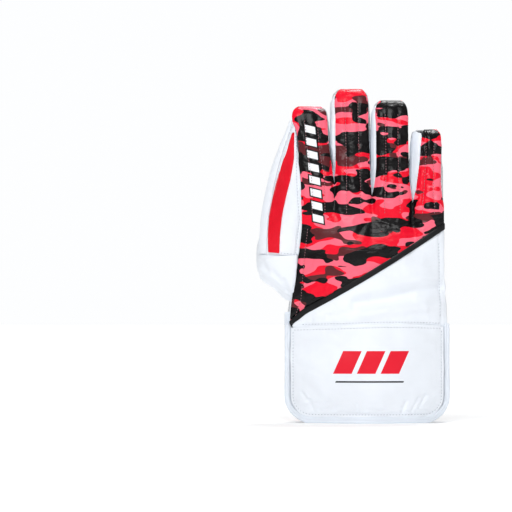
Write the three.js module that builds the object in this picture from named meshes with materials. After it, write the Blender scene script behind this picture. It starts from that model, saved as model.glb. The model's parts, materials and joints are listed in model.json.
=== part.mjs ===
// A wicketkeeping glove for the right hand, standing upright on the open rim of its cuff, in millimetres.
// X runs from the thumb side to the little finger, Y from the back of the hand to the palm, and Z up to
// the fingertips. Every wall is a skin: a grid of outer points with a second grid one wall thickness
// inside it. The glove is hollow, from the cuff's mouth up into each finger and into the thumb stall.
import * as THREE from "three";

// Driving sizes
const cuffHeight = 94;
const cuffWidth = 161;
const cuffDepth = 86;
const cuffCornerRadius = 26;
const handLength = 231;
const palmWidth = 139;
const wristDepth = 60;
const fingerDepth = 25;
const fingerCurl = 26;
const thumbLength = 100;
const webReach = 40;

// Walls
const backLeather = 2.2;
const fingerPadding = 2.4;
const palmRubber = 2.4;
const gussetLeather = 1.4;
const thumbLeather = 1.8;
const webLeather = 1.6;
const cuffWall = 4.4;
const cuffPadding = 2.6;
const stripeThickness = 0.9;

// Trims
const bindingWidth = 6;
const bindingThickness = 5;
const bindingProud = 0.8;
const bindingBevel = 1.8;
const bandWidth = 5.1;
const bandProud = 0.7;
const cuffBandWidth = 6;
const cuffHemHeight = 4.5;
const pipingRadius = 0.9;
const webEdgeWidth = 8;
const webEdgeDepth = 9;

// Clearances between pieces that are sewn together
const seamGap = 0.35;
const gussetInset = 0.5;
const crotchRadius = 0.6;

// Shapes of arches: the exponent of a superellipse-like section
const archPower = 2.3;

// Colours
const white = 0xe9eef4;
const black = 0x101214;
const red = 0xf01030;
const patternRed = 0xe8203c;
const rubberGrey = 0xaeb4b8;

const handTop = cuffHeight + handLength;
const upHand = (share) => cuffHeight + share * handLength;
const shareUp = (z) => (z - cuffHeight) / handLength;
const palmThumbSide = -0.457 * palmWidth;
const palmLittleSide = 0.537 * palmWidth;
const cuffEdgeDepth = 0.85 * bindingThickness + seamGap;

// The hand between cuff and fingers. up: share of the hand length. thumb, little: how far the edge has
// flared from the palm's edge towards the cuff's edge. The depths are shares of the wrist depth.
const handSections = [
  { up: 0.0, thumb: 0.82, little: 1.0, backEdge: 0.083, backCrown: 0.5, palmCrown: 0.5, palmEdge: 0.083 },
  { up: 0.106, thumb: 0.69, little: 0.45, backEdge: 0.117, backCrown: 0.475, palmCrown: 0.483, palmEdge: 0.117 },
  { up: 0.19, thumb: 0.41, little: 0.15, backEdge: 0.14, backCrown: 0.465, palmCrown: 0.465, palmEdge: 0.13 },
  { up: 0.3, thumb: 0.2, little: 0.0, backEdge: 0.15, backCrown: 0.45, palmCrown: 0.43, palmEdge: 0.133 },
  { up: 0.416, thumb: 0.0, little: 0.0, backEdge: 0.158, backCrown: 0.42, palmCrown: 0.385, palmEdge: 0.125 },
  { up: 0.528, thumb: 0.03, little: 0.0, backEdge: 0.16, backCrown: 0.365, palmCrown: 0.345, palmEdge: 0.12 },
  { up: 0.68, thumb: 0.09, little: 0.0, backEdge: 0.16, backCrown: 0.32, palmCrown: 0.31, palmEdge: 0.12 },
];

// The palm rubber's thumb-side edge, which is cut away round the thumb. across: share of the palm width
// from the middle of the cuff. depth: share of the wrist depth.
const palmThumbEdge = [
  { up: 0.0, across: -0.561, depth: 0.083 },
  { up: 0.07, across: -0.553, depth: 0.11 },
  { up: 0.125, across: -0.535, depth: 0.15 },
  { up: 0.17, across: -0.507, depth: 0.18 },
  { up: 0.26, across: -0.496, depth: 0.21 },
  { up: 0.325, across: -0.474, depth: 0.25 },
  { up: 0.37, across: -0.405, depth: 0.29 },
  { up: 0.42, across: -0.368, depth: 0.31 },
  { up: 0.48, across: -0.383, depth: 0.29 },
  { up: 0.545, across: -0.415, depth: 0.25 },
  { up: 0.61, across: -0.447, depth: 0.2 },
  { up: 0.68, across: -0.468, depth: 0.165 },
];

// The four fingers, thumb side first. tip: the height of its end up the hand. Then for each of its two
// sides: base, where the finger starts, as a share of the span between the hand's edges; lean, how far
// the tip's middle lies from the glove's middle, and half, half its width, as shares of the palm width.
const fingers = [
  { name: "index", tip: 0.926 },
  { name: "middle", tip: 1.0 },
  { name: "ring", tip: 0.952 },
  { name: "little", tip: 0.828 },
];
const fingerSides = {
  back: [
    { base: 0, lean: -0.395, half: 0.115 },
    { base: 0.234, lean: -0.11, half: 0.122 },
    { base: 0.495, lean: 0.172, half: 0.119 },
    { base: 0.78, lean: 0.437, half: 0.0845 },
  ],
  palm: [
    { base: 0, lean: -0.386, half: 0.12 },
    { base: 0.229, lean: -0.1145, half: 0.1375 },
    { base: 0.507, lean: 0.167, half: 0.128 },
    { base: 0.751, lean: 0.42, half: 0.112 },
  ],
};

// Height up the hand of the five points between the fingers, on the back and on the palm
const crotches = {
  back: [0.615, 0.6, 0.53, 0.505, 0.495],
  palm: [0.68, 0.675, 0.682, 0.675, 0.66],
};

// One finger from its base to its tip. width: share of its half width. The depths are shares of the
// finger depth.
const fingerSections = [
  { along: 0.0, width: 1.0, backEdge: 0.48, backCrown: 0.72, palmEdge: 0.4, palmCrown: 0.64 },
  { along: 0.12, width: 0.99, backEdge: 0.44, backCrown: 0.64, palmEdge: 0.34, palmCrown: 0.56 },
  { along: 0.35, width: 1.0, backEdge: 0.38, backCrown: 0.56, palmEdge: 0.27, palmCrown: 0.49 },
  { along: 0.6, width: 0.985, backEdge: 0.38, backCrown: 0.55, palmEdge: 0.26, palmCrown: 0.48 },
  { along: 0.82, width: 0.955, backEdge: 0.36, backCrown: 0.52, palmEdge: 0.25, palmCrown: 0.45 },
  { along: 0.92, width: 0.9, backEdge: 0.3, backCrown: 0.43, palmEdge: 0.2, palmCrown: 0.38 },
  { along: 0.97, width: 0.8, backEdge: 0.2, backCrown: 0.3, palmEdge: 0.13, palmCrown: 0.26 },
  { along: 1.0, width: 0.6, backEdge: 0.04, backCrown: 0.08, palmEdge: 0.035, palmCrown: 0.07 },
];
const fingerStations = [0, 0.07, 0.18, 0.35, 0.55, 0.74, 0.87, 0.94, 0.98, 1];
const quadsPerFinger = 5;

// The thumb stall's centreline, from its root at the hand's edge, out to the fold and back across the
// front of the palm to its tip. across, out and up are shares of the thumb length from the root's middle.
// heading: the path's direction seen from above, in degrees from +X. droop: how far it points down.
// half, thick: half its width and half its thickness, as shares of the thumb length.
const thumbSections = [
  { across: 0.0, out: -0.02, up: 0.0, heading: 180, droop: -6, half: 0.225, thick: 0.11 },
  { across: -0.09, out: 0.005, up: 0.01, heading: 165, droop: -3, half: 0.22, thick: 0.12 },
  { across: -0.2, out: 0.07, up: 0.06, heading: 135, droop: 0, half: 0.205, thick: 0.12 },
  { across: -0.265, out: 0.18, up: 0.17, heading: 97, droop: 0, half: 0.2, thick: 0.105 },
  { across: -0.23, out: 0.3, up: 0.285, heading: 50, droop: 2, half: 0.215, thick: 0.105 },
  { across: -0.12, out: 0.375, up: 0.295, heading: 14, droop: 8, half: 0.23, thick: 0.115 },
  { across: 0.04, out: 0.4, up: 0.22, heading: 0, droop: 28, half: 0.255, thick: 0.12 },
  { across: 0.2, out: 0.4, up: 0.065, heading: 0, droop: 50, half: 0.25, thick: 0.12 },
  { across: 0.29, out: 0.39, up: -0.09, heading: 0, droop: 63, half: 0.19, thick: 0.115 },
  { across: 0.33, out: 0.38, up: -0.21, heading: 0, droop: 72, half: 0.135, thick: 0.092 },
  { across: 0.35, out: 0.375, up: -0.275, heading: 0, droop: 76, half: 0.08, thick: 0.05 },
];
const thumbRoot = { across: -0.511 * palmWidth, out: 0.035 * wristDepth, up: upHand(0.208) };
const thumbFold = 0.34;

// The web's outer edge. reach: how far it stands out from the hand's thumb side, as a share of the web's
// reach. depth: how far towards the palm the edge band starts, as a share of the wrist depth. band: share
// of the edge band's size. stripe: the red stripe's width, as a share of the edge band's width.
const webSections = [
  { up: 0.3, reach: 1.05, depth: -0.04, band: 1.0, stripe: 1.4 },
  { up: 0.375, reach: 1.04, depth: -0.01, band: 1.0, stripe: 1.5 },
  { up: 0.47, reach: 0.99, depth: 0.06, band: 1.0, stripe: 1.55 },
  { up: 0.54, reach: 0.92, depth: 0.1, band: 1.0, stripe: 1.55 },
  { up: 0.615, reach: 0.825, depth: 0.11, band: 0.95, stripe: 1.5 },
  { up: 0.675, reach: 0.728, depth: 0.11, band: 0.85, stripe: 1.4 },
  { up: 0.74, reach: 0.59, depth: 0.08, band: 0.75, stripe: 1.0 },
  { up: 0.8, reach: 0.45, depth: 0.03, band: 0.6, stripe: 0.35 },
  { up: 0.87, reach: 0.29, depth: -0.02, band: 0.4, stripe: 0.1 },
];
const webBottom = { back: 0.3, edge: 0.335, facing: 0.39 };
const webTop = { back: 0.868, facing: 0.85 };
const stripeTop = 0.795;

// Smooth value of a table's column at x, with x in the table's first column.
function along(table, column, x) {
  const axis = Object.keys(table[0])[0];
  const last = table.length - 1;
  const place = Math.min(Math.max(x, table[0][axis]), table[last][axis]);
  let k = 0;
  while (k < last - 1 && place > table[k + 1][axis]) k += 1;
  const slopeAt = (i) => {
    if (i === 0 || i === last) return 0;
    return (table[i + 1][column] - table[i - 1][column]) / (table[i + 1][axis] - table[i - 1][axis]);
  };
  const [a, b] = [table[k], table[k + 1]];
  const span = b[axis] - a[axis];
  const t = (place - a[axis]) / span;
  const [t2, t3] = [t * t, t * t * t];
  return (
    (2 * t3 - 3 * t2 + 1) * a[column] +
    (t3 - 2 * t2 + t) * span * slopeAt(k) +
    (3 * t2 - 2 * t3) * b[column] +
    (t3 - t2) * span * slopeAt(k + 1)
  );
}

const lerp = THREE.MathUtils.lerp;
const clamp = THREE.MathUtils.clamp;
const smooth = THREE.MathUtils.smoothstep;
const vec = (x, y, z) => new THREE.Vector3(x, y, z);
const radians = THREE.MathUtils.degToRad;
const arch = (middleDistance) => 1 - Math.abs(middleDistance) ** archPower;

// The fingers curl towards the palm above the middle of the hand.
function curlAt(z) {
  const curlStart = upHand(0.25);
  return fingerCurl * Math.max(0, (z - curlStart) / (handTop - curlStart)) ** 2;
}

const fingerAt = (u) => clamp(Math.floor(u), 0, 3);
const baseShare = (side, u) => {
  const f = fingerAt(u);
  const next = f === 3 ? 1 : fingerSides[side][f + 1].base;
  return lerp(fingerSides[side][f].base, next, u - f);
};
const crotchHeight = (side, u) => {
  const f = fingerAt(u);
  return upHand(lerp(crotches[side][f], crotches[side][f + 1], u - f));
};

// Left and right edge of a side of the hand at a height.
function handEdges(side, z) {
  const up = shareUp(z);
  const cuffEdge = cuffWidth / 2 - 2.5;
  const thumbEdge =
    side === "palm"
      ? along(palmThumbEdge, "across", up) * palmWidth
      : lerp(palmThumbSide, -cuffEdge, along(handSections, "thumb", up));
  return [thumbEdge, lerp(palmLittleSide, cuffEdge, along(handSections, "little", up))];
}

// Depth of a finger's arch, across in -1..1, at a share of the finger's length.
function fingerArch(side, across, t) {
  const edge = along(fingerSections, side + "Edge", t) * fingerDepth;
  const crown = along(fingerSections, side + "Crown", t) * fingerDepth;
  return edge + (crown - edge) * arch(across);
}

// A point of the hand's skin below the fingers. u counts fingers across, 0 to 4; v is 0 at the cuff
// and 1 where the fingers start.
function handPoint(side, u, v) {
  const z = lerp(cuffHeight + seamGap, crotchHeight(side, u), v);
  const [left, right] = handEdges(side, z);
  const share = baseShare(side, u);
  const x = lerp(left, right, share);
  const up = shareUp(z);
  const littleEdge = along(handSections, side + "Edge", up);
  const thumbEdge = side === "palm" ? along(palmThumbEdge, "depth", up) : littleEdge;
  const edge = lerp(thumbEdge, littleEdge, share) * wristDepth;
  const crown = along(handSections, side + "Crown", up) * wristDepth;
  const handArch = edge + (crown - edge) * arch(2 * share - 1);
  const f = fingerAt(u);
  const depth = lerp(handArch, fingerArch(side, 2 * (u - f) - 1, 0), smooth(v, 0.5, 1));
  return vec(x, curlAt(z) + (side === "back" ? -depth : depth), z);
}

// A point of a finger's skin: a is 0 at its thumb side and 1 at its other side, t is 0 at its base.
function fingerPoint(side, f, a, t) {
  const shape = fingerSides[side][f];
  const baseZ = crotchHeight(side, f + clamp(a, 0, 0.999999));
  const z = lerp(baseZ, upHand(fingers[f].tip), t);
  const [left, right] = handEdges(side, baseZ);
  const baseLeft = lerp(left, right, baseShare(side, f));
  const baseRight = lerp(left, right, baseShare(side, f + 0.999999));
  const width = along(fingerSections, "width", t);
  const half = width * lerp((baseRight - baseLeft) / 2, shape.half * palmWidth, smooth(t, 0, 0.3));
  const middle = lerp((baseLeft + baseRight) / 2, shape.lean * palmWidth, Math.sin((t * Math.PI) / 2));
  const across = 2 * a - 1;
  const depth = fingerArch(side, across, t);
  return vec(middle + across * half, curlAt(z) + (side === "back" ? -depth : depth), z);
}

// The skin of one side of the hand: v runs 0..1 up the hand and 1..2 up finger f, a runs across it.
function skinPoint(side, f, a, v) {
  return v <= 1 ? handPoint(side, f + a, v) : fingerPoint(side, f, a, v - 1);
}

// Outward normal of a surface function by small differences.
function normalOf(surface, u, v, outward) {
  const step = 0.002;
  const du = surface(u + step, v).sub(surface(u - step, v));
  const dv = surface(u, v + step).sub(surface(u, v - step));
  const normal = du.cross(dv).normalize();
  return normal.dot(outward) < 0 ? normal.negate() : normal;
}
function skinNormal(side, f, a, v) {
  const outward = vec(0, side === "back" ? -1 : 1, 0.001);
  if (v <= 1) {
    const place = (u, w) => handPoint(side, clamp(u, 0, 4), Math.min(w, 1));
    return normalOf(place, f + a, v, outward);
  }
  const place = (u, t) => fingerPoint(side, f, u, clamp(t, 0, 1));
  return normalOf(place, a, v - 1, outward);
}
function skinWall(side, a, v) {
  if (side === "palm") return palmRubber;
  const onFinger = smooth(v, 0.7, 1) * (1 - smooth(v, 1.9, 2));
  return backLeather + fingerPadding * onFinger * arch(2 * a - 1);
}
// The skin's inner side, which keeps to its own half of the finger at the tip.
function skinInner(side, f, a, v) {
  const inner = skinPoint(side, f, a, v).addScaledVector(skinNormal(side, f, a, v), -skinWall(side, a, v));
  const towards = side === "back" ? -1 : 1;
  const depth = towards * (inner.y - curlAt(inner.z));
  if (depth < seamGap) inner.y = curlAt(inner.z) + towards * seamGap;
  return inner;
}

// A closed wall from quads over outer and inner points. Equal outer points are welded.
class Skin {
  constructor() {
    this.outer = [];
    this.inner = [];
    this.quads = [];
    this.seen = new Map();
  }
  add(outer, inner) {
    const key = outer.toArray().map((n) => Math.round(n * 2000)).join();
    if (!this.seen.has(key)) {
      this.seen.set(key, this.outer.length);
      this.outer.push(outer);
      this.inner.push(inner);
    }
    return this.seen.get(key);
  }
  // rows of [outer, inner] pairs
  addGrid(rows) {
    const ids = rows.map((row) => row.map(([outer, inner]) => this.add(outer, inner)));
    for (let r = 0; r + 1 < ids.length; r += 1) {
      for (let c = 0; c + 1 < ids[r].length; c += 1) {
        this.quads.push([ids[r][c], ids[r][c + 1], ids[r + 1][c + 1], ids[r + 1][c]]);
      }
    }
    return this;
  }
  geometry() {
    const count = this.outer.length;
    const positions = [...this.outer, ...this.inner].flatMap((p) => p.toArray());
    const quads = this.quads.map((q) => q.filter((id, i) => id !== q[(i + 1) % 4]));
    const edges = new Set();
    for (const q of quads) q.forEach((id, i) => edges.add(id + "," + q[(i + 1) % q.length]));
    const faces = [];
    const fan = (q) => {
      for (let i = 1; i + 1 < q.length; i += 1) faces.push(q[0], q[i], q[i + 1]);
    };
    for (const q of quads) {
      fan(q);
      fan(q.map((id) => id + count).reverse());
      q.forEach((i, n) => {
        const j = q[(n + 1) % q.length];
        if (!edges.has(j + "," + i)) fan([j, i, i + count, j + count]);
      });
    }
    const made = new THREE.BufferGeometry();
    made.setAttribute("position", new THREE.Float32BufferAttribute(positions, 3));
    made.setIndex(faces);
    return facingOut(made);
  }
}

// Turns a closed geometry's faces outwards, which its signed volume shows.
function facingOut(geometry) {
  const p = geometry.getAttribute("position");
  const index = geometry.getIndex().array;
  const corner = (i) => vec(p.getX(index[i]), p.getY(index[i]), p.getZ(index[i]));
  let volume = 0;
  for (let i = 0; i < index.length; i += 3) volume += corner(i).dot(corner(i + 1).cross(corner(i + 2)));
  if (volume < 0) {
    for (let i = 0; i < index.length; i += 3) [index[i], index[i + 1]] = [index[i + 1], index[i]];
  }
  geometry.computeVertexNormals();
  return geometry;
}

// Evenly spaced values from a to b, both included.
const spread = (a, b, steps) => Array.from({ length: steps + 1 }, (_, i) => lerp(a, b, i / steps));

// A panel of a surface function with its own thickness, as a closed wall.
function panel(surface, us, vs, thickness, outward) {
  const rows = vs.map((v) =>
    us.map((u) => {
      const point = surface(u, v);
      const wall = typeof thickness === "function" ? thickness(u, v) : thickness;
      return [point, point.clone().addScaledVector(normalOf(surface, u, v, outward), -wall)];
    }),
  );
  return new Skin().addGrid(rows).geometry();
}

const finishes = {
  whiteLeather: new THREE.MeshStandardMaterial({ color: white, roughness: 0.38, metalness: 0 }),
  blackLeather: new THREE.MeshStandardMaterial({ color: black, roughness: 0.45, metalness: 0 }),
  redLeather: new THREE.MeshStandardMaterial({ color: red, roughness: 0.4, metalness: 0 }),
  patternedLeather: new THREE.MeshStandardMaterial({ color: patternRed, roughness: 0.35, metalness: 0 }),
  pimpledRubber: new THREE.MeshStandardMaterial({ color: rubberGrey, roughness: 0.85, metalness: 0 }),
};

const glove = new THREE.Group();
function addPiece(name, geometry, finish) {
  const mesh = new THREE.Mesh(geometry, finishes[finish]);
  mesh.name = name;
  glove.add(mesh);
}

// Height of the black band's lower edge on the back of the hand, at a distance from the glove's middle.
function bandHeight(x) {
  const share = x / palmWidth;
  const drop = 4 * Math.max(0, -0.43 - share) ** 2;
  const rise = 0.2 * handLength + (0.6 * share + 0.083 * share ** 2 - drop) * palmWidth;
  return cuffHeight + Math.max(seamGap, rise);
}
// Share v of the hand's height where a line at bandHeight plus a rise crosses column u.
function bandShare(u, rise) {
  let v = 0.5;
  for (let i = 0; i < 12; i += 1) {
    const p = handPoint("back", u, clamp(v, 0, 1));
    const low = cuffHeight + seamGap;
    v = (bandHeight(p.x) + rise - low) / (crotchHeight("back", u) - low);
  }
  return clamp(v, 0, 1);
}

const fingerColumns = spread(0, 1, quadsPerFinger);
function fingerGrid(side, f) {
  return fingerStations.map((t) =>
    fingerColumns.map((a) => {
      const v = 1 + t;
      return [skinPoint(side, f, a, v), skinInner(side, f, a, v)];
    }),
  );
}
function handGrid(side, f, from, to, rows, columns = fingerColumns, proud = 0) {
  return spread(0, 1, rows).map((r) =>
    columns.map((a) => {
      const v = lerp(from(f + a), to(f + a), r);
      const normal = skinNormal(side, f, a, v);
      return [skinPoint(side, f, a, v).addScaledVector(normal, proud), skinInner(side, f, a, v)];
    }),
  );
}

// The back: pattern above the band, white below it
function addBack() {
  const camo = new Skin();
  const white = new Skin();
  const band = new Skin();
  for (let f = 0; f < 4; f += 1) {
    camo.addGrid(handGrid("back", f, (u) => bandShare(u, bandWidth + seamGap), () => 1, 6));
    camo.addGrid(fingerGrid("back", f));
    band.addGrid(
      handGrid("back", f, (u) => bandShare(u, 0), (u) => bandShare(u, bandWidth), 1, fingerColumns, bandProud),
    );
    const firstColumn = f === 0 ? spread(0.15, 1, quadsPerFinger) : fingerColumns;
    white.addGrid(handGrid("back", f, () => 0, (u) => bandShare(u, -seamGap), 4, firstColumn));
  }
  addPiece("back_camo", camo.geometry(), "patternedLeather");
  addPiece("back_band", band.geometry(), "blackLeather");
  addPiece("back_white", white.geometry(), "whiteLeather");
}

function addPalm() {
  const palm = new Skin();
  for (let f = 0; f < 4; f += 1) {
    palm.addGrid(handGrid("palm", f, () => 0, () => 1, 12));
    palm.addGrid(fingerGrid("palm", f));
  }
  addPiece("palm_facing", palm.geometry(), "pimpledRubber");
}

// A gusset's row: from the back skin's inner edge to the palm skin's, set in and clear of both.
function gussetRow(backEdge, palmEdge, inset, clearance) {
  const across = palmEdge.clone().sub(backEdge);
  const step = across.clone().setLength(Math.min(clearance, across.length() / 4));
  return [backEdge.clone().add(step).add(inset), palmEdge.clone().sub(step).add(inset)];
}

// A ribbon of gusset leather through rows of [back point, palm point], bulging outwards.
function ribbon(rows, outwardOf) {
  const stepsAcross = 3;
  const bulge = 0.8;
  const grid = rows.map(([back, palm], i) => {
    const before = rows[Math.max(i - 1, 0)];
    const after = rows[Math.min(i + 1, rows.length - 1)];
    const middleOf = ([b, p]) => b.clone().add(p).multiplyScalar(0.5);
    const forward = middleOf(after).sub(middleOf(before));
    const normal = palm.clone().sub(back).cross(forward).normalize();
    if (normal.dot(outwardOf(i)) < 0) normal.negate();
    return spread(0, 1, stepsAcross).map((s) => {
      const outer = back.clone().lerp(palm, s).addScaledVector(normal, bulge * Math.sin(Math.PI * s));
      return [outer, outer.clone().addScaledVector(normal, -gussetLeather)];
    });
  });
  return new Skin().addGrid(grid).geometry();
}

// The walls between two fingers: down one finger's side, round the crotch, and up the next one's side
function addFourchettes() {
  const stations = [0.93, 0.8, 0.62, 0.42, 0.24, 0.1];
  for (let f = 0; f < 3; f += 1) {
    const sideRow = (finger, a, t) => {
      const clearance = (t < 0.3 ? 2.2 : 1.3) * seamGap;
      const inset = vec(a === 1 ? -gussetInset : gussetInset, 0, 0);
      return gussetRow(skinInner("back", finger, a, 1 + t), skinInner("palm", finger, a, 1 + t), inset, clearance);
    };
    const crotchRow = (across, down) =>
      gussetRow(
        skinInner("back", f, 1, 1),
        skinInner("palm", f, 1, 1),
        vec(across * crotchRadius, 0, -down * crotchRadius),
        9 * seamGap,
      );
    const down = stations.map((t) => sideRow(f, 1, t));
    const up = stations.map((t) => sideRow(f + 1, 0, t)).reverse();
    const turn = [crotchRow(-1, 0.2), crotchRow(0, 1), crotchRow(1, 0.2)];
    const rows = [...down, ...turn, ...up];
    const outward = (i) => {
      if (i < down.length) return vec(1, 0, 0);
      if (i >= down.length + turn.length) return vec(-1, 0, 0);
      return vec(1 - (i - down.length), 0, 1);
    };
    addPiece(
      `fourchette_${fingers[f].name}_${fingers[f + 1].name}`,
      ribbon(rows, outward),
      "whiteLeather",
    );
  }
}

// A skin's inner edge at a height, on the hand's outer edge at column u (0 or 4).
function edgeAtHeight(side, u, z) {
  const f = u === 0 ? 0 : 3;
  const a = u === 0 ? 0 : 1;
  const crotch = crotchHeight(side, u);
  const low = cuffHeight + seamGap;
  const v = z <= crotch ? (z - low) / (crotch - low) : 1 + (z - crotch) / (upHand(fingers[f].tip) - crotch);
  return skinInner(side, f, a, v);
}
function addSideGusset(name, u, from, to, steps) {
  const direction = u === 0 ? 1 : -1;
  const rows = spread(from, to, steps).map((z) =>
    gussetRow(edgeAtHeight("back", u, z), edgeAtHeight("palm", u, z), vec(direction * gussetInset, 0, 0), 2 * seamGap),
  );
  addPiece(name, ribbon(rows, () => vec(-direction, 0, 0)), "whiteLeather");
}

// The thumb stall
function thumbFrame(s) {
  const place = s * (thumbSections.length - 1);
  const rows = thumbSections.map((row, i) => ({ at: i, ...row }));
  const value = (column) => along(rows, column, place);
  const heading = radians(value("heading"));
  const droop = radians(value("droop"));
  return {
    middle: vec(
      thumbRoot.across + value("across") * thumbLength,
      thumbRoot.out + value("out") * thumbLength,
      thumbRoot.up + value("up") * thumbLength,
    ),
    wide: vec(Math.sin(droop) * Math.cos(heading), Math.sin(droop) * Math.sin(heading), Math.cos(droop)),
    out: vec(-Math.sin(heading), Math.cos(heading), 0),
    half: value("half") * thumbLength,
    thick: value("thick") * thumbLength,
  };
}
// turn: 0 at the upper seam, 0.5 at the lower one, by way of the outer side; 0.5 to 1 is the inner side
function thumbPoint(s, turn, wall = 0) {
  const frame = thumbFrame(s);
  const angle = turn * 2 * Math.PI;
  const round = (n) => Math.sign(n) * Math.abs(n) ** (2 / archPower);
  return frame.middle
    .addScaledVector(frame.wide, round(Math.cos(angle)) * (frame.half - wall))
    .addScaledVector(frame.out, round(Math.sin(angle)) * (frame.thick - wall));
}
function thumbWall(stations, turns, closeTip = false) {
  const rows = stations.map((s) => turns.map((turn) => [thumbPoint(s, turn), thumbPoint(s, turn, thumbLeather)]));
  if (closeTip) {
    const tip = thumbFrame(1);
    const forward = tip.wide.clone().cross(tip.out).normalize();
    const along = forward.dot(thumbFrame(0.9).middle.sub(tip.middle)) > 0 ? -1 : 1;
    const end = tip.middle.clone().addScaledVector(forward, along * tip.thick);
    rows.push(
      turns.map((turn) => {
        const shrunk = (wall) => thumbPoint(1, turn, wall).lerp(end.clone(), 0.55);
        const inside = shrunk(thumbLeather).addScaledVector(forward, -along * thumbLeather);
        return [shrunk(0), inside];
      }),
    );
  }
  return new Skin().addGrid(rows).geometry();
}
function addThumb() {
  const seam = 0.006;
  const wholeTurn = spread(0, 1, 16);
  const outerTurns = spread(seam, 0.5 - seam, 8);
  const innerTurns = spread(0.5 + seam, 1 - seam, 7);
  const [beforeFold, afterFold] = [thumbFold - 0.004, thumbFold + 0.004];
  addPiece("thumb_base", thumbWall(spread(0, beforeFold, 6), wholeTurn), "whiteLeather");
  addPiece("thumb_facing", thumbWall(spread(afterFold, 1, 13), outerTurns, true), "pimpledRubber");
  addPiece("thumb_back", thumbWall(spread(afterFold, 1, 12), innerTurns, true), "patternedLeather");
}

// The web between thumb and index finger
function webFrame(up) {
  const z = upHand(up);
  const hand = edgeAtHeight("back", 0, z);
  const outerX = palmThumbSide - along(webSections, "reach", up) * webReach;
  const band = along(webSections, "band", up);
  const edgeY = curlAt(z) + along(webSections, "depth", up) * wristDepth;
  return {
    z,
    hand: vec(hand.x - webLeather, hand.y, z),
    inner: vec(Math.min(outerX + band * webEdgeWidth, hand.x - 2.5 * webLeather), edgeY, z),
    outer: vec(outerX, edgeY + band * webEdgeDepth, z),
    stripe: along(webSections, "stripe", up) * webEdgeWidth,
  };
}
// u: 0 at the hand's edge, 1 at the edge band. v: share up the hand.
function webBackPoint(u, v) {
  const frame = webFrame(v);
  const point = frame.hand.clone().lerp(frame.inner, u);
  const reach = frame.hand.distanceTo(frame.inner);
  point.y -= 0.12 * reach * Math.sin(Math.PI * clamp(u, -0.1, 1.1));
  return point;
}
function webEdgePoint(u, v) {
  const frame = webFrame(v);
  const point = frame.inner.clone().lerp(frame.outer, u);
  const outward = vec(-1, -1, 0).normalize();
  return point.addScaledVector(outward, 0.12 * webEdgeWidth * Math.sin(Math.PI * clamp(u, 0, 1)));
}
function palmEdgeOuter(z) {
  const crotch = crotchHeight("palm", 0);
  const low = cuffHeight + seamGap;
  const v = z <= crotch ? (z - low) / (crotch - low) : 1 + (z - crotch) / (upHand(fingers[0].tip) - crotch);
  return skinPoint("palm", 0, 0, v);
}
// u: 0 at the web's outer edge, 1 at the piping beside the palm's edge
function webFacingPoint(u, v) {
  const frame = webFrame(v);
  const edge = palmEdgeOuter(frame.z);
  const clearance = 2 * pipingRadius + 4.6 * seamGap;
  const end = vec(edge.x - clearance, edge.y, frame.z);
  const start = frame.outer.clone().add(vec(0.6 * webLeather, 1.1 * webLeather + palmRubber, 0));
  const point = start.lerp(end, u);
  point.y += 1.5 * Math.sin(Math.PI * clamp(u, 0, 1));
  return point;
}
function addWeb() {
  const [back, palm] = [vec(0, -1, 0), vec(0, 1, 0)];
  const heights = spread(webBottom.back, webTop.back, 11);
  addPiece("web_back", panel(webBackPoint, spread(0, 1, 4), heights, webLeather, back), "whiteLeather");
  const edgeSurface = (u, v) => webEdgePoint(u, v);
  const seam = seamGap / webEdgeWidth;
  const edgeShares = spread(seam * 2, 1 - seam, 3);
  const edgeHeights = spread(webBottom.edge, webTop.back, 11);
  addPiece("web_edge", panel(edgeSurface, edgeShares, edgeHeights, webLeather, vec(-1, -1, 0)), "whiteLeather");
  // The stripe lies on the web's back, beside the edge band, and narrows to a point.
  const stripeSurface = (u, v) => {
    const frame = webFrame(v);
    const reach = frame.hand.distanceTo(frame.inner);
    const share = 1 - (seamGap + u * frame.stripe) / reach;
    const normal = normalOf(webBackPoint, share, v, back);
    return webBackPoint(share, v).addScaledVector(normal, stripeThickness + seamGap);
  };
  const stripeHeights = spread(webBottom.back + 0.004, stripeTop, 9);
  addPiece("web_stripe", panel(stripeSurface, spread(0, 1, 3), stripeHeights, stripeThickness, back), "redLeather");
  const facingHeights = spread(webBottom.facing, webTop.facing, 9);
  const facingWall = (u, v) => palmRubber * (1 - 0.5 * smooth(v, 0.7, webTop.facing));
  addPiece("web_facing", panel(webFacingPoint, spread(0, 1, 5), facingHeights, facingWall, palm), "pimpledRubber");
  addPiece("web_piping", pipingGeometry(), "blackLeather");
}
// A round cord in the seam between the palm rubber and the web's rubber
function pipingGeometry() {
  const points = spread(webBottom.facing, webTop.back + 0.02, 14).map((up) => {
    const edge = palmEdgeOuter(upHand(up));
    const tangent = palmEdgeOuter(upHand(up + 0.005)).sub(palmEdgeOuter(upHand(up - 0.005)));
    const outward = vec(-tangent.z, 0, tangent.x).normalize();
    return edge.addScaledVector(outward, pipingRadius + 2.3 * seamGap).add(vec(0, 0.2 * pipingRadius, 0));
  });
  const path = new THREE.CatmullRomCurve3(points);
  const sides = 8;
  const shape = new THREE.Shape();
  spread(0, 2 * Math.PI, sides)
    .slice(0, sides)
    .forEach((angle, i) => {
      const at = [pipingRadius * Math.cos(angle), pipingRadius * Math.sin(angle)];
      if (i === 0) shape.moveTo(...at);
      else shape.lineTo(...at);
    });
  return new THREE.ExtrudeGeometry(shape, { steps: 24, extrudePath: path, curveSegments: 1 });
}

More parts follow.
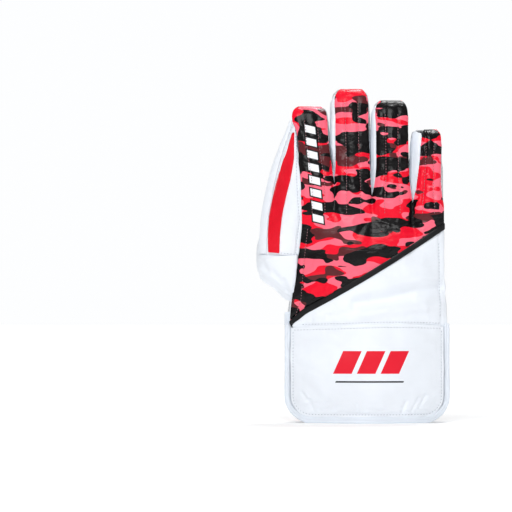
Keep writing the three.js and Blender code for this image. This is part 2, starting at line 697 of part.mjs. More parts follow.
// The cuff: two padded flaps with rounded lower corners, each with a binding round its free edge.
const cuffHalf = cuffWidth / 2;
function cuffHalfWidthAt(z, inset) {
  const radius = cuffCornerRadius - inset;
  const low = z - inset;
  const half = cuffHalf - inset;
  if (low >= radius) return half;
  return half - radius + Math.sqrt(Math.max(0, radius ** 2 - (radius - low) ** 2));
}
function cuffDepthAt(x, z) {
  const flare = 1 - clamp(z / cuffHeight, 0, 1) ** 1.2;
  const crown = lerp(wristDepth / 2, cuffDepth / 2, flare);
  return cuffEdgeDepth + (crown - cuffEdgeDepth) * arch(x / cuffHalf);
}
const cuffSide = { back: -1, palm: 1 };
function cuffPoint(side, x, z) {
  return vec(x, cuffSide[side] * cuffDepthAt(x, z), z);
}
const cuffInset = bindingWidth + 2 * seamGap;
const panelTop = cuffHeight - seamGap;
// Heights of a flap's rows, closer together round its corners
const cuffHeights = (top) => {
  const radius = cuffCornerRadius - cuffInset;
  const corner = spread(0, 1, 4).map((s) => cuffInset + radius * (1 - Math.cos((s * Math.PI) / 2)));
  return [...corner, ...spread(cuffInset + radius, top, 4).slice(1)];
};
// A flap's panel between two edges, which are functions of the height
function cuffPanel(side, heights, leftOf, rightOf, columns, proud = 0) {
  const surface = (x, z) => cuffPoint(side, x, z);
  const rows = heights.map((z) =>
    spread(0, 1, columns).map((share) => {
      const half = cuffHalfWidthAt(z, cuffInset);
      const x = lerp(clamp(leftOf(z), -half, half), clamp(rightOf(z), -half, half), share);
      const normal = normalOf(surface, x, z, vec(0, cuffSide[side], 0));
      const wall = cuffWall + cuffPadding * arch(x / cuffHalf);
      const point = surface(x, z);
      return [point.clone().addScaledVector(normal, proud), point.clone().addScaledVector(normal, -wall)];
    }),
  );
  return new Skin().addGrid(rows).geometry();
}
// Left edge of the slanted black band on the palm's flap
function cuffBandEdge(z) {
  return lerp(0.085, -0.155, z / cuffHeight) * cuffWidth - cuffBandWidth / 2;
}
function addCuff() {
  const wide = () => cuffWidth;
  const narrow = () => -cuffWidth;
  const whole = cuffHeights(panelTop);
  addPiece("cuff_back", cuffPanel("back", whole, narrow, wide, 12), "whiteLeather");
  const bandLeft = (z) => cuffBandEdge(z) + seamGap / 2;
  const bandRight = (z) => cuffBandEdge(z) + cuffBandWidth - seamGap / 2;
  const camoRight = (z) => cuffBandEdge(z) - seamGap / 2;
  const whiteLeft = (z) => cuffBandEdge(z) + cuffBandWidth + seamGap / 2;
  const hemBottom = panelTop - cuffHemHeight;
  const belowHem = cuffHeights(hemBottom - seamGap);
  addPiece("cuff_palm_camo", cuffPanel("palm", whole, narrow, camoRight, 6), "patternedLeather");
  addPiece("cuff_palm_band", cuffPanel("palm", whole, bandLeft, bandRight, 1), "blackLeather");
  addPiece("cuff_palm_white", cuffPanel("palm", belowHem, whiteLeft, wide, 7), "whiteLeather");
  const hem = cuffPanel("palm", [hemBottom, panelTop], whiteLeft, wide, 7, bindingProud);
  addPiece("cuff_palm_hem", hem, "whiteLeather");
  for (const side of ["back", "palm"]) {
    addPiece(`cuff_binding_${side}`, bindingGeometry(side), "whiteLeather");
  }
}
// The binding follows the flap's outline: down one side, round both corners, and up the other side.
function bindingGeometry(side) {
  const bottom = cuffHalf - cuffCornerRadius;
  const corner = (angle) => [
    bottom + cuffCornerRadius * Math.cos(angle),
    cuffCornerRadius * (1 - Math.sin(angle)),
    angle,
  ];
  const quarter = spread(0, Math.PI / 2, 6).map(corner);
  const rightHalf = [
    ...spread(cuffHeight, cuffCornerRadius, 4).slice(0, -1).map((z) => [cuffHalf, z, 0]),
    ...quarter,
    ...spread(bottom, 0, 4).slice(1).map((x) => [x, 0, Math.PI / 2]),
  ];
  const leftHalf = rightHalf.slice(0, -1).reverse().map(([x, z, angle]) => [-x, z, Math.PI - angle]);
  const sign = cuffSide[side];
  const stations = [...rightHalf, ...leftHalf].map(([x, z, angle]) => {
    const here = cuffPoint(side, x, z);
    const outwards = Math.sign(Math.cos(angle)) || 1;
    const step = 0.5;
    const beside = cuffPoint(side, x - outwards * step, z);
    const tangent = here.clone().sub(beside).setZ(0).normalize();
    const edge = tangent
      .clone()
      .multiplyScalar(Math.abs(Math.cos(angle)))
      .add(vec(0, 0, -Math.sin(angle)));
    const face = vec(-tangent.y, tangent.x, 0);
    if (face.y * sign < 0) face.negate();
    return { here, edge, face };
  });
  const section = [
    [-bindingWidth, bindingProud * 0.4],
    [-bindingWidth * 0.7, bindingProud],
    [-bindingBevel, bindingProud],
    [0, bindingProud - bindingBevel],
    [0, bindingBevel - bindingThickness],
    [-bindingBevel, -bindingThickness],
    [-bindingWidth, -bindingThickness],
  ];
  const loops = stations.map(({ here, edge, face }) =>
    section.map(([out, up]) => here.clone().addScaledVector(edge, out).addScaledVector(face, up)),
  );
  return tubeOf(loops);
}
// A closed solid through equal loops, with flat ends.
function tubeOf(loops) {
  const sides = loops[0].length;
  const faces = [];
  for (let r = 0; r + 1 < loops.length; r += 1) {
    for (let c = 0; c < sides; c += 1) {
      const [a, b] = [r * sides + c, r * sides + ((c + 1) % sides)];
      faces.push(a, b, b + sides, a, b + sides, a + sides);
    }
  }
  const end = (loops.length - 1) * sides;
  for (let c = 1; c + 1 < sides; c += 1) {
    faces.push(0, c + 1, c, end, end + c, end + c + 1);
  }
  const made = new THREE.BufferGeometry();
  made.setAttribute("position", new THREE.Float32BufferAttribute(loops.flat().flatMap((p) => p.toArray()), 3));
  made.setIndex(faces);
  return facingOut(made);
}

addBack();
addPalm();
addFourchettes();
addSideGusset("side_gusset_little", 4, cuffHeight + 1, upHand(0.8), 12);
addSideGusset("side_gusset_index", 0, upHand(0.345), upHand(0.89), 11);
addSideGusset("side_gusset_heel", 0, cuffHeight + 1, upHand(0.1), 2);
addThumb();
addWeb();
addCuff();

// The origin is on the ground, in the middle of the glove's box.
const box = new THREE.Box3().setFromObject(glove);
const middle = box.getCenter(new THREE.Vector3());
glove.position.set(-middle.x, -middle.y, -box.min.z);

export default glove;
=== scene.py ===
import json
import math

import bmesh
import bpy
import numpy as np
from mathutils import Euler, Matrix, Vector, noise
from mathutils.bvhtree import BVHTree
from mathutils.kdtree import KDTree


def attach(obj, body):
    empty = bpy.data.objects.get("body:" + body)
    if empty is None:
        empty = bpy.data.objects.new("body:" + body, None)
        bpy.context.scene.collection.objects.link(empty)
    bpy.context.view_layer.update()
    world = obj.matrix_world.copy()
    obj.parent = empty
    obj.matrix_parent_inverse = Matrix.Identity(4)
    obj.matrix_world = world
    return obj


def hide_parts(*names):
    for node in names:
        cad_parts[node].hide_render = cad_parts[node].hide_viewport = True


# The looks of a wicketkeeping glove. Lengths in the tables are in millimetres, and MM turns them to metres.
# X runs from the thumb side to the little finger, Y from the back of the hand to the palm, Z up.

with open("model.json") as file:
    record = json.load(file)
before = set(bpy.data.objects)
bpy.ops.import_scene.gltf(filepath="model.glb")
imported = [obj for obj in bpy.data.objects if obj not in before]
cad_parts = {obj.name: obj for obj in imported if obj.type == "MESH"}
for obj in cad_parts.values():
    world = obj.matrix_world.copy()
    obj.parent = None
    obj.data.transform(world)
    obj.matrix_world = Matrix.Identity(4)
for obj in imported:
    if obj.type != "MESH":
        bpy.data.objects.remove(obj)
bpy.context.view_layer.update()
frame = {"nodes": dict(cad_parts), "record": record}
MM = 0.001
# Which way along Y the outside of a wall faces
BACK, PALM = -1, 1

# Fingers as the back of the glove shows them, from the index to the little finger: the middle line and the
# half width, at the tip and at the base
FINGERS = [
    {"tip_x": -41.1, "base_x": -33.6, "tip_z": 308, "base_z": 233, "tip_half": 16.0, "base_half": 16.2},
    {"tip_x": -1.5, "base_x": 0.6, "tip_z": 325, "base_z": 226, "tip_half": 17.0, "base_half": 18.0},
    {"tip_x": 37.7, "base_x": 38.2, "tip_z": 314, "base_z": 214, "tip_half": 16.5, "base_half": 19.6},
    {"tip_x": 74.5, "base_x": 73.2, "tip_z": 285, "base_z": 209, "tip_half": 11.7, "base_half": 15.2},
]
MIDDLE, RING, LITTLE = 1, 2, 3
# White walls between the fingers: where each bulges right of x = beyond, how far it rises at its tip, and
# how far it shows beside the finger, as (height, width)
GUSSETS = [
    {"node": "fourchette_index_middle", "finger": MIDDLE, "beyond": -19, "foot": 232, "top": 322,
     "swell": 3.4, "reach": 1.0, "opening": [(228, 0), (250, 1.0), (300, 1.2), (316, 0.4)]},
    {"node": "fourchette_middle_ring", "finger": RING, "beyond": 18, "foot": 212, "top": 312,
     "swell": 3.2, "reach": 1.0, "opening": [(214, 0), (250, 1.6), (290, 1.4), (306, 0.4)]},
    {"node": "fourchette_ring_little", "finger": LITTLE, "beyond": 58, "foot": 208, "top": 284,
     "swell": 2.4, "reach": 3.0, "opening": [(220, 0), (236, 0.6), (257, 2.8), (278, 4.4), (286, 4.0)]},
]
# Across a finger's back, as a share of its half width, where the padding is stitched down
CHANNELS = (-0.38, 0.38)
CHANNEL_FOOT = 203
# The cuff's outline: its height, half width, middle and rounded lower corners
CUFF_TOP = 94
CUFF_HALF = 80.5
CUFF_MIDDLE = 13.8
CORNER = 26
# How far in from the edge of the cuff its stitches run
CUFF_ROW_INSET = 8.4
# How far the outside of a wall may sink before its lining goes with it
SINK = 0.7
# Steps of the cloth before its folds are kept
CLOTH_STEPS = 20
# From one pimple of the palm rubber to the next, in metres
PIMPLE_PITCH = 0.0021


# Materials

class Finish:
    """One procedural material: a Principled shader, and the nodes that feed its colour and its relief."""

    def __init__(self, name, **sockets):
        self.material = bpy.data.materials.new(name)
        self.material.use_nodes = True
        self.tree = self.material.node_tree
        self.tree.nodes.clear()
        self.shader = self.add("ShaderNodeBsdfPrincipled", **sockets)
        output = self.add("ShaderNodeOutputMaterial")
        self.tree.links.new(self.shader.outputs[0], output.inputs["Surface"])
        self.place = self.add("ShaderNodeTexCoord").outputs["Object"]

    def add(self, kind, settings=None, **sockets):
        node = self.tree.nodes.new(kind)
        for key, value in (settings or {}).items():
            setattr(node, key, value)
        for key, value in sockets.items():
            self.feed(node, key.replace("_", " "), value)
        return node

    def feed(self, node, socket, value):
        target = node.inputs[socket]
        if isinstance(value, bpy.types.NodeSocket):
            self.tree.links.new(value, target)
        else:
            target.default_value = value

    def stretched(self, scale, turn=(0, 0, 0), vector=None):
        """The place of each point, scaled along each axis and turned."""
        mapping = self.add("ShaderNodeMapping", Vector=vector or self.place, Scale=scale, Rotation=turn)
        return mapping.outputs[0]

    def grain(self, vector, scale, detail=2.0, rough=0.5, seed=0.0, bend=0.0):
        texture = self.add(
            "ShaderNodeTexNoise", {"noise_dimensions": "4D"},
            Vector=vector, Scale=scale, Detail=detail, Roughness=rough, W=seed, Distortion=bend,
        )
        return texture.outputs["Fac"]

    def cells(self, vector, scale, dimensions="3D", randomness=1.0, feature="F1"):
        texture = self.add(
            "ShaderNodeTexVoronoi", {"voronoi_dimensions": dimensions, "feature": feature},
            Vector=vector, Scale=scale, Randomness=randomness,
        )
        return texture.outputs["Distance"]

    def between(self, value, low, high, to_low=0.0, to_high=1.0):
        """value, taken from low..high to to_low..to_high, and held at the ends."""
        node = self.add(
            "ShaderNodeMapRange", {"interpolation_type": "SMOOTHSTEP"},
            Value=value, From_Min=low, From_Max=high, To_Min=to_low, To_Max=to_high,
        )
        return node.outputs[0]

    def maths(self, operation, a, b=0):
        node = self.add("ShaderNodeMath", {"operation": operation})
        self.feed(node, 0, a)
        self.feed(node, 1, b)
        return node.outputs[0]

    def mixed(self, share, first, second):
        node = self.add("ShaderNodeMix", {"data_type": "RGBA"})
        self.feed(node, 0, share)
        self.feed(node, 6, first)
        self.feed(node, 7, second)
        return node.outputs[2]

    def relief(self, height, strength, depth, under=None):
        """Adds a bump of that depth in metres over an earlier one."""
        bump = self.add("ShaderNodeBump", Strength=strength, Distance=depth, Height=height)
        if under is not None:
            self.feed(bump, "Normal", under)
        return bump.outputs[0]

    def measured(self, axis, origin):
        """How far each point lies along axis from origin, in millimetres."""
        dot = self.add("ShaderNodeVectorMath", {"operation": "DOT_PRODUCT"})
        self.feed(dot, 0, self.place)
        self.feed(dot, 1, tuple(axis / MM))
        return self.maths("SUBTRACT", dot.outputs["Value"], axis.dot(origin))

    def times(self, first, second):
        return self.maths("MULTIPLY", first, second)

    def within(self, value, low, high):
        """1 where value lies between low and high, with soft borders."""
        soft = 0.12
        above = self.between(value, low - soft, low + soft)
        return self.times(above, self.between(value, high - soft, high + soft, 1.0, 0.0))

    def colour(self, value):
        self.feed(self.shader, "Base Color", value)

    def surface(self, normal):
        self.feed(self.shader, "Normal", normal)


def rgb(red, green, blue):
    """A colour as the eye reads it, 0 to 255, as the linear values that the shader wants."""
    def linear(value):
        share = value / 255
        return share / 12.92 if share <= 0.04045 else ((share + 0.055) / 1.055) ** 2.4
    return (linear(red), linear(green), linear(blue), 1.0)


def leather_relief(finish, strength=1.0, crossed=0.0):
    """Fine pores over soft wrinkles, and creases that run across where crossed is above 0."""
    wrinkles = finish.grain(finish.stretched((1, 1, 1.6)), 140, detail=3, rough=0.55, seed=3)
    normal = finish.relief(wrinkles, 0.35 * strength, 0.001)
    if crossed:
        cracks = finish.cells(finish.stretched((60, 60, 210)), 1.0, feature="DISTANCE_TO_EDGE")
        worn = finish.between(finish.grain(finish.place, 45, seed=9), 0.45, 0.62)
        lines = finish.times(finish.between(cracks, 0.0, 0.09, 1.0, 0.0), worn)
        normal = finish.relief(lines, crossed, -0.0005, normal)
    pores = finish.cells(finish.place, 1100, feature="SMOOTH_F1")
    return finish.relief(pores, 0.25 * strength, 0.00018, normal)


def white_leather(name, tone=(240, 245, 252), marks=None):
    """Smooth coated white, with faint clouds and a little wear."""
    finish = Finish(name, Roughness=0.38, IOR=1.46, Specular_IOR_Level=0.35)
    cloud = finish.grain(finish.place, 24, detail=3, rough=0.5, seed=1)
    worn = finish.grain(finish.stretched((1, 1, 2.2)), 90, detail=4, rough=0.6, seed=6)
    shade = tuple(value * 0.975 for value in tone)
    clean = finish.mixed(finish.between(cloud, 0.35, 0.65), rgb(*tone), rgb(*shade))
    ground = finish.mixed(finish.between(worn, 0.62, 0.8, 0, 0.2), clean, rgb(218, 225, 234))
    finish.colour(marks(finish, ground) if marks else ground)
    finish.surface(leather_relief(finish))
    return finish.material


def plain_leather(name, tone, dark, roughness):
    finish = Finish(name, Roughness=roughness, IOR=1.47, Specular_IOR_Level=0.3)
    cloud = finish.grain(finish.place, 60, detail=3, rough=0.5, seed=2)
    finish.colour(finish.mixed(finish.between(cloud, 0.35, 0.7), rgb(*tone), rgb(*dark)))
    finish.surface(leather_relief(finish))
    return finish.material


# Printed marks, all plain shapes. Places are in millimetres, across and up.

def bar_row(finish, ground):
    """Slanted white bars with a black edge, in a row up the back of the index finger."""
    low, high = Vector((-33.5, 0, 192)), Vector((-42.2, 0, 292))
    run = (high - low).normalized()
    across = Vector((run.z, 0, -run.x))
    pitch, length = 12.5, (high - low).length
    slant, half_width, half_height, edge = 0.35, 5.0, 3.6, 1.3
    side = finish.measured(across, low)
    up = finish.maths("ADD", finish.measured(run, low), finish.times(side, slant))
    step = finish.maths("FRACT", finish.maths("DIVIDE", up, pitch))
    from_middle = finish.maths("ABSOLUTE", finish.maths("SUBTRACT", step, 0.5))
    along = finish.times(from_middle, pitch)
    wide = finish.maths("ABSOLUTE", side)
    paint = ground
    for grow, tone in ((edge, (20, 20, 22)), (0.0, (244, 246, 250))):
        bar = finish.times(
            finish.within(wide, -1, half_width + grow), finish.within(along, -1, half_height + grow),
        )
        inside = finish.times(finish.within(up, 0.5, length), bar)
        paint = finish.mixed(inside, paint, rgb(*tone))
    return paint


def cuff_marks(finish, ground):
    """Three slanted red blocks over a thin black rule, in the middle of the back cuff."""
    middle, height = 17.0, 59.0
    half_width, half_height, pitch = 9, 11, 23
    up = finish.measured(Vector((0, 0, 1)), Vector((0, 0, height)))
    slant = finish.measured(Vector((1, 0, -0.45)), Vector((middle, 0, height)))
    paint = ground
    for place in (-pitch, 0, pitch):
        across = finish.within(slant, place - half_width, place + half_width)
        block = finish.times(across, finish.within(up, -half_height, half_height))
        paint = finish.mixed(block, paint, rgb(232, 16, 44))
    rule = finish.times(finish.within(slant, -26, 40), finish.within(up, -19.6, -18))
    return finish.mixed(rule, paint, rgb(40, 42, 46))


def rosette(finish, ground):
    """Two black rings with short ticks between them, round a plain red disc."""
    middle, ticks = Vector((50.7, 0, 53)), 24
    across = finish.measured(Vector((1, 0, 0)), middle)
    up = finish.measured(Vector((0, 0, 1)), middle)
    squares = finish.maths("ADD", finish.maths("POWER", across, 2), finish.maths("POWER", up, 2))
    away = finish.maths("SQRT", squares)
    turn = finish.maths("DIVIDE", finish.maths("ARCTAN2", up, across), math.tau / ticks)
    tick = finish.within(finish.maths("FRACT", turn), 0.36, 0.64)
    paint = ground
    for low, high, shape, tone in (
        (25.6, 27.6, 1, (36, 38, 42)),
        (19.5, 23.5, tick, (60, 62, 66)),
        (15.6, 16.8, 1, (36, 38, 42)),
        (-1, 11.0, 1, (228, 18, 40)),
    ):
        paint = finish.mixed(finish.times(finish.within(away, low, high), shape), paint, rgb(*tone))
    return paint


# Layers of the woodland print over its red ground. Each covers where its noise is above its edge.
PRINT_LAYERS = [
    {"tone": (255, 108, 130), "seed": 1.7, "scale": 52, "edge": 0.504},
    {"tone": (92, 34, 38), "seed": 8.3, "scale": 50, "edge": 0.578},
    {"tone": (9, 7, 9), "seed": 15.2, "scale": 64, "edge": 0.524},
]


def patterned_leather(name, marks=None):
    """Glossy leather with the woodland print, whose patches lie along the hand's width."""
    finish = Finish(name, Roughness=0.27, IOR=1.48, Specular_IOR_Level=0.24)
    flow = finish.stretched((0.4, 0.8, 1.1), turn=(0, math.radians(-9), 0))
    paint = rgb(240, 10, 44)
    lobe_share, soft = 0.3, 0.003
    for layer in PRINT_LAYERS:
        seed, scale, edge = layer["seed"], layer["scale"], layer["edge"]
        blobs = finish.grain(flow, scale, detail=0, seed=seed, bend=0.45)
        lobes = finish.grain(flow, scale * 2.6, detail=0, seed=seed + 0.5)
        patches = finish.maths("ADD", finish.times(blobs, 1 - lobe_share), finish.times(lobes, lobe_share))
        cover = finish.between(patches, edge - soft, edge + soft)
        paint = finish.mixed(cover, paint, rgb(*layer["tone"]))
    finish.colour(marks(finish, paint) if marks else paint)
    finish.surface(leather_relief(finish, 1.1, crossed=0.3))
    return finish.material


def pimpled_rubber(name):
    """Slanted rows of small pimples, and deeper furrows between the rows in places; both low places are
    painted darker, as shade.
    """
    finish = Finish(name, Roughness=0.6, IOR=1.5, Specular_IOR_Level=0.3)
    parts = finish.add("ShaderNodeSeparateXYZ", Vector=finish.place).outputs
    flat = finish.add("ShaderNodeCombineXYZ", X=parts[0], Y=parts[2]).outputs[0]
    slanted = finish.stretched((1, 1, 1), turn=(0, 0, math.radians(-35)), vector=flat)
    dots = finish.cells(slanted, 1 / PIMPLE_PITCH, dimensions="2D", randomness=0.08)
    across = finish.add("ShaderNodeSeparateXYZ", Vector=slanted).outputs[1]
    wave = finish.maths("SINE", finish.times(across, math.tau / PIMPLE_PITCH))
    patches = finish.grain(finish.place, 26, detail=1, rough=0.5, seed=12)
    gaping = finish.add("ShaderNodeAttribute", {"attribute_name": "gaping"}).outputs["Fac"]
    painted_shade = finish.add("ShaderNodeAttribute", {"attribute_name": "painted_shade"}).outputs["Fac"]
    open_rows = finish.maths("MAXIMUM", finish.between(patches, 0.48, 0.64, 0.0, 0.4), gaping)
    grooves_with_painted_shade = finish.times(finish.between(wave, 0.0, 0.9), open_rows)
    cloud = finish.grain(finish.place, 30, detail=4, rough=0.6, seed=4)
    clean = finish.mixed(finish.between(cloud, 0.35, 0.7), rgb(237, 239, 239), rgb(224, 229, 235))
    # Painted shade: a bluer, darker tone on the thumb side of each finger, read from the mark that the palm
    # keeps.
    ground = finish.mixed(painted_shade, clean, rgb(196, 208, 226))
    # Painted shade: the low ground between the pimples is darkened.
    painted_valley_shade = finish.mixed(finish.between(dots, 0.28, 0.55, 0.0, 0.85), ground, rgb(128, 134, 142))
    # Painted shade: the furrows between the rows are darkened as well as sunk in relief.
    finish.colour(finish.mixed(grooves_with_painted_shade, painted_valley_shade, rgb(104, 109, 118)))
    height = finish.maths("SUBTRACT", finish.between(dots, 0.12, 0.5, 1.0, 0.0), grooves_with_painted_shade)
    finish.surface(finish.relief(height, 1.0, 0.0006))
    return finish.material


def towelling(name):
    """Short pale loops, for the sides that the hand touches."""
    finish = Finish(name, Roughness=0.95, Sheen_Weight=0.3)
    loops = finish.cells(finish.place, 900)
    finish.colour(finish.mixed(finish.between(loops, 0.1, 0.6), rgb(232, 232, 230), rgb(196, 198, 202)))
    finish.surface(finish.relief(loops, 0.8, 0.0006))
    return finish.material


def thread(name, tone):
    finish = Finish(name, Roughness=0.6, Sheen_Weight=0.2)
    twist = finish.grain(finish.place, 2600, detail=1, seed=5)
    dark = tuple(value * 0.78 for value in tone)
    finish.colour(finish.mixed(finish.between(twist, 0.4, 0.6), rgb(*tone), rgb(*dark)))
    finish.surface(finish.relief(twist, 0.5, 0.0002))
    return finish.material


LOOKS = {
    "white_leather": white_leather("white coated leather"),
    "white_binding": white_leather("white folded binding", (232, 239, 248)),
    "black_leather": plain_leather("black leather", (18, 18, 20), (10, 10, 12), 0.38),
    "red_leather": plain_leather("red leather", (232, 14, 40), (222, 10, 34), 0.33),
    "patterned_leather": patterned_leather("leather printed in red, pink, maroon and black"),
    "pimpled_rubber": pimpled_rubber("pimpled palm rubber"),
}
OWN_LOOKS = {
    "cuff_back": white_leather("white coated leather with red blocks", marks=cuff_marks),
    "cuff_palm_white": white_leather("white coated leather with a ring rosette", marks=rosette),
    "back_camo": patterned_leather("printed leather with a row of white bars", marks=bar_row),
}
LINING = towelling("white towelling lining")
WHITE_THREAD = thread("white thread", (214, 220, 230))
PINK_THREAD = thread("dull pink thread", (176, 120, 128))
SLOT_OF = {part["node"]: part["material_slot"] for part in frame["record"]["subparts"]}


# Finer copies of the walls

def applied(obj):
    """Makes the modifiers of obj part of its mesh."""
    shaped = bpy.data.meshes.new_from_object(obj.evaluated_get(bpy.context.evaluated_depsgraph_get()))
    obj.modifiers.clear()
    old = obj.data
    obj.data = shaped
    bpy.data.meshes.remove(old)


def linked(name, data):
    """A new object in the scene."""
    obj = bpy.data.objects.new(name, data)
    bpy.context.scene.collection.objects.link(obj)
    return obj


def added(name, bm, materials):
    """A new object in the scene from a bmesh, shaded smooth."""
    mesh = bpy.data.meshes.new(name)
    bm.to_mesh(mesh)
    bm.free()
    for material in materials:
        mesh.materials.append(material)
    mesh.shade_smooth()
    return linked(name, mesh)


def points_of(mesh, what="co"):
    """The place of every vertex, or what else is asked of it, one to a row."""
    values = np.empty(len(mesh.vertices) * 3)
    mesh.vertices.foreach_get(what, values)
    return values.reshape(-1, 3)


def normals_of(mesh):
    return points_of(mesh, "normal")


def placed(obj, points):
    """Moves every vertex of obj to its row of points."""
    obj.data.vertices.foreach_set("co", points.ravel())
    obj.data.update()
    bpy.context.view_layer.update()


def subdivided(obj, levels):
    finer = obj.modifiers.new("finer", "SUBSURF")
    finer.levels = finer.render_levels = levels


def fitted(obj, levels):
    """Subdivides a wall into a smooth one that still passes through the corners it was made with."""
    subdivided(obj, levels)
    corners = points_of(obj.data)
    control = corners.copy()
    for _ in range(3):
        placed(obj, control)
        smooth = obj.evaluated_get(bpy.context.evaluated_depsgraph_get()).to_mesh()
        control += 0.8 * (corners - points_of(smooth)[:len(corners)])
    placed(obj, control)
    applied(obj)


def spread(obj, amount):
    """Widens the rims of a wall by that many millimetres, so that it meets the leather sewn to it."""
    points, flat = points_of(obj.data), normals_of(obj.data) * (1, 0, 1)
    length = np.linalg.norm(flat, axis=1, keepdims=True)
    share = np.clip((length - 0.3) / 0.3, 0, 1)
    placed(obj, points + flat / np.maximum(length, 1e-9) * share * amount * MM)


def shaped_tips(points):
    """Draws the printed leather out over each fingertip's rounded corners."""
    nearest, across = finger_at(points)
    tip = top_of(nearest)
    share = rise(points[:, 2], tip - 30, tip - 6)
    points[:, 0] += 1.1 * share * np.clip(across, -1, 1)
    points[:, 2] += 0.6 * share * rise(points[:, 2], tip - 8, tip)
    return points


def shaped_index(points):
    """The index finger's thumb side: drawn in along the web, and out again at the tip."""
    x, _, z = points.T
    side = (1 - rise(x, -58, -38)) * rise(x, -62, -57)
    points[:, 0] = x + side * (2.2 * dip(z - 272, 14) - 2.6 * rise(z, 284, 297))
    return points


def shaped_thumb(points):
    """Flattens the lower side of the thumb's fold."""
    away = np.hypot(points[:, 0] + 79.5, points[:, 2] - 127)
    points[:, 0] += 2.0 * dip(away, 13)
    points[:, 2] += 3.4 * dip(away, 13)
    return points


def level_with_web(points):
    """Brings the thumb's leather out under the web's lower edge, where the two are sewn together."""
    x, _, z = points.T
    below = rise(z, 146, 159) * (1 - rise(z, 162.6, 165))
    points[:, 1] -= 3.2 * below * rise(x, -94, -88) * (1 - rise(x, -57, -53))
    points[:, 0] = x + 1.3 * rise(x, -64, -56) * rise(z, 116, 126) * (1 - rise(z, 162.6, 165))
    return points


def opening(gusset, points):
    """How wide the gusset shows beside its finger, at each point's height."""
    heights, widths = zip(*gusset["opening"])
    return np.interp(points[:, 2], heights, widths)


def opened_sides(points):
    """Draws each finger's back away from its thumb side, where the white gusset shows."""
    nearest, across = finger_at(points)
    for gusset in GUSSETS:
        share = (nearest == gusset["finger"]) * (1 - rise(across, -1.0, 0.1))
        points[:, 0] += opening(gusset, points) * share
    return points


def pointed_corner(points):
    """Draws the black band's lower end to a point over the cuff, and the white leather along with it."""
    x, _, z = points.T
    edge = np.interp(z, [94, 102], [-58.5, -49])
    reach = np.maximum(np.minimum(x, edge) + 60.7, -3)
    points[:, 0] = x - 0.8 * (1 - rise(z, 93, 102)) * reach * (1 - rise(x, edge, edge + 14))
    return points


def bowed_seam(points):
    """Lets the seam between the cuff and the back of the hand dip at the thumb side, as sewn leather does."""
    bow = np.interp(points[:, 0], [-62, -20, 25, 55, 92], [-1.8, -0.5, 1.1, 1.1, -0.3])
    points[:, 2] += bow * dip(points[:, 2] - 94, 12)
    return points


def raised_top(points):
    """Carries a side gusset up under the leather above it."""
    top = points[:, 2].max()
    points[:, 2] += 2.6 * rise(points[:, 2], top - 12, top - 1)
    return points


def above_floor(points):
    points[:, 2] = np.maximum(points[:, 2], 0)
    return points


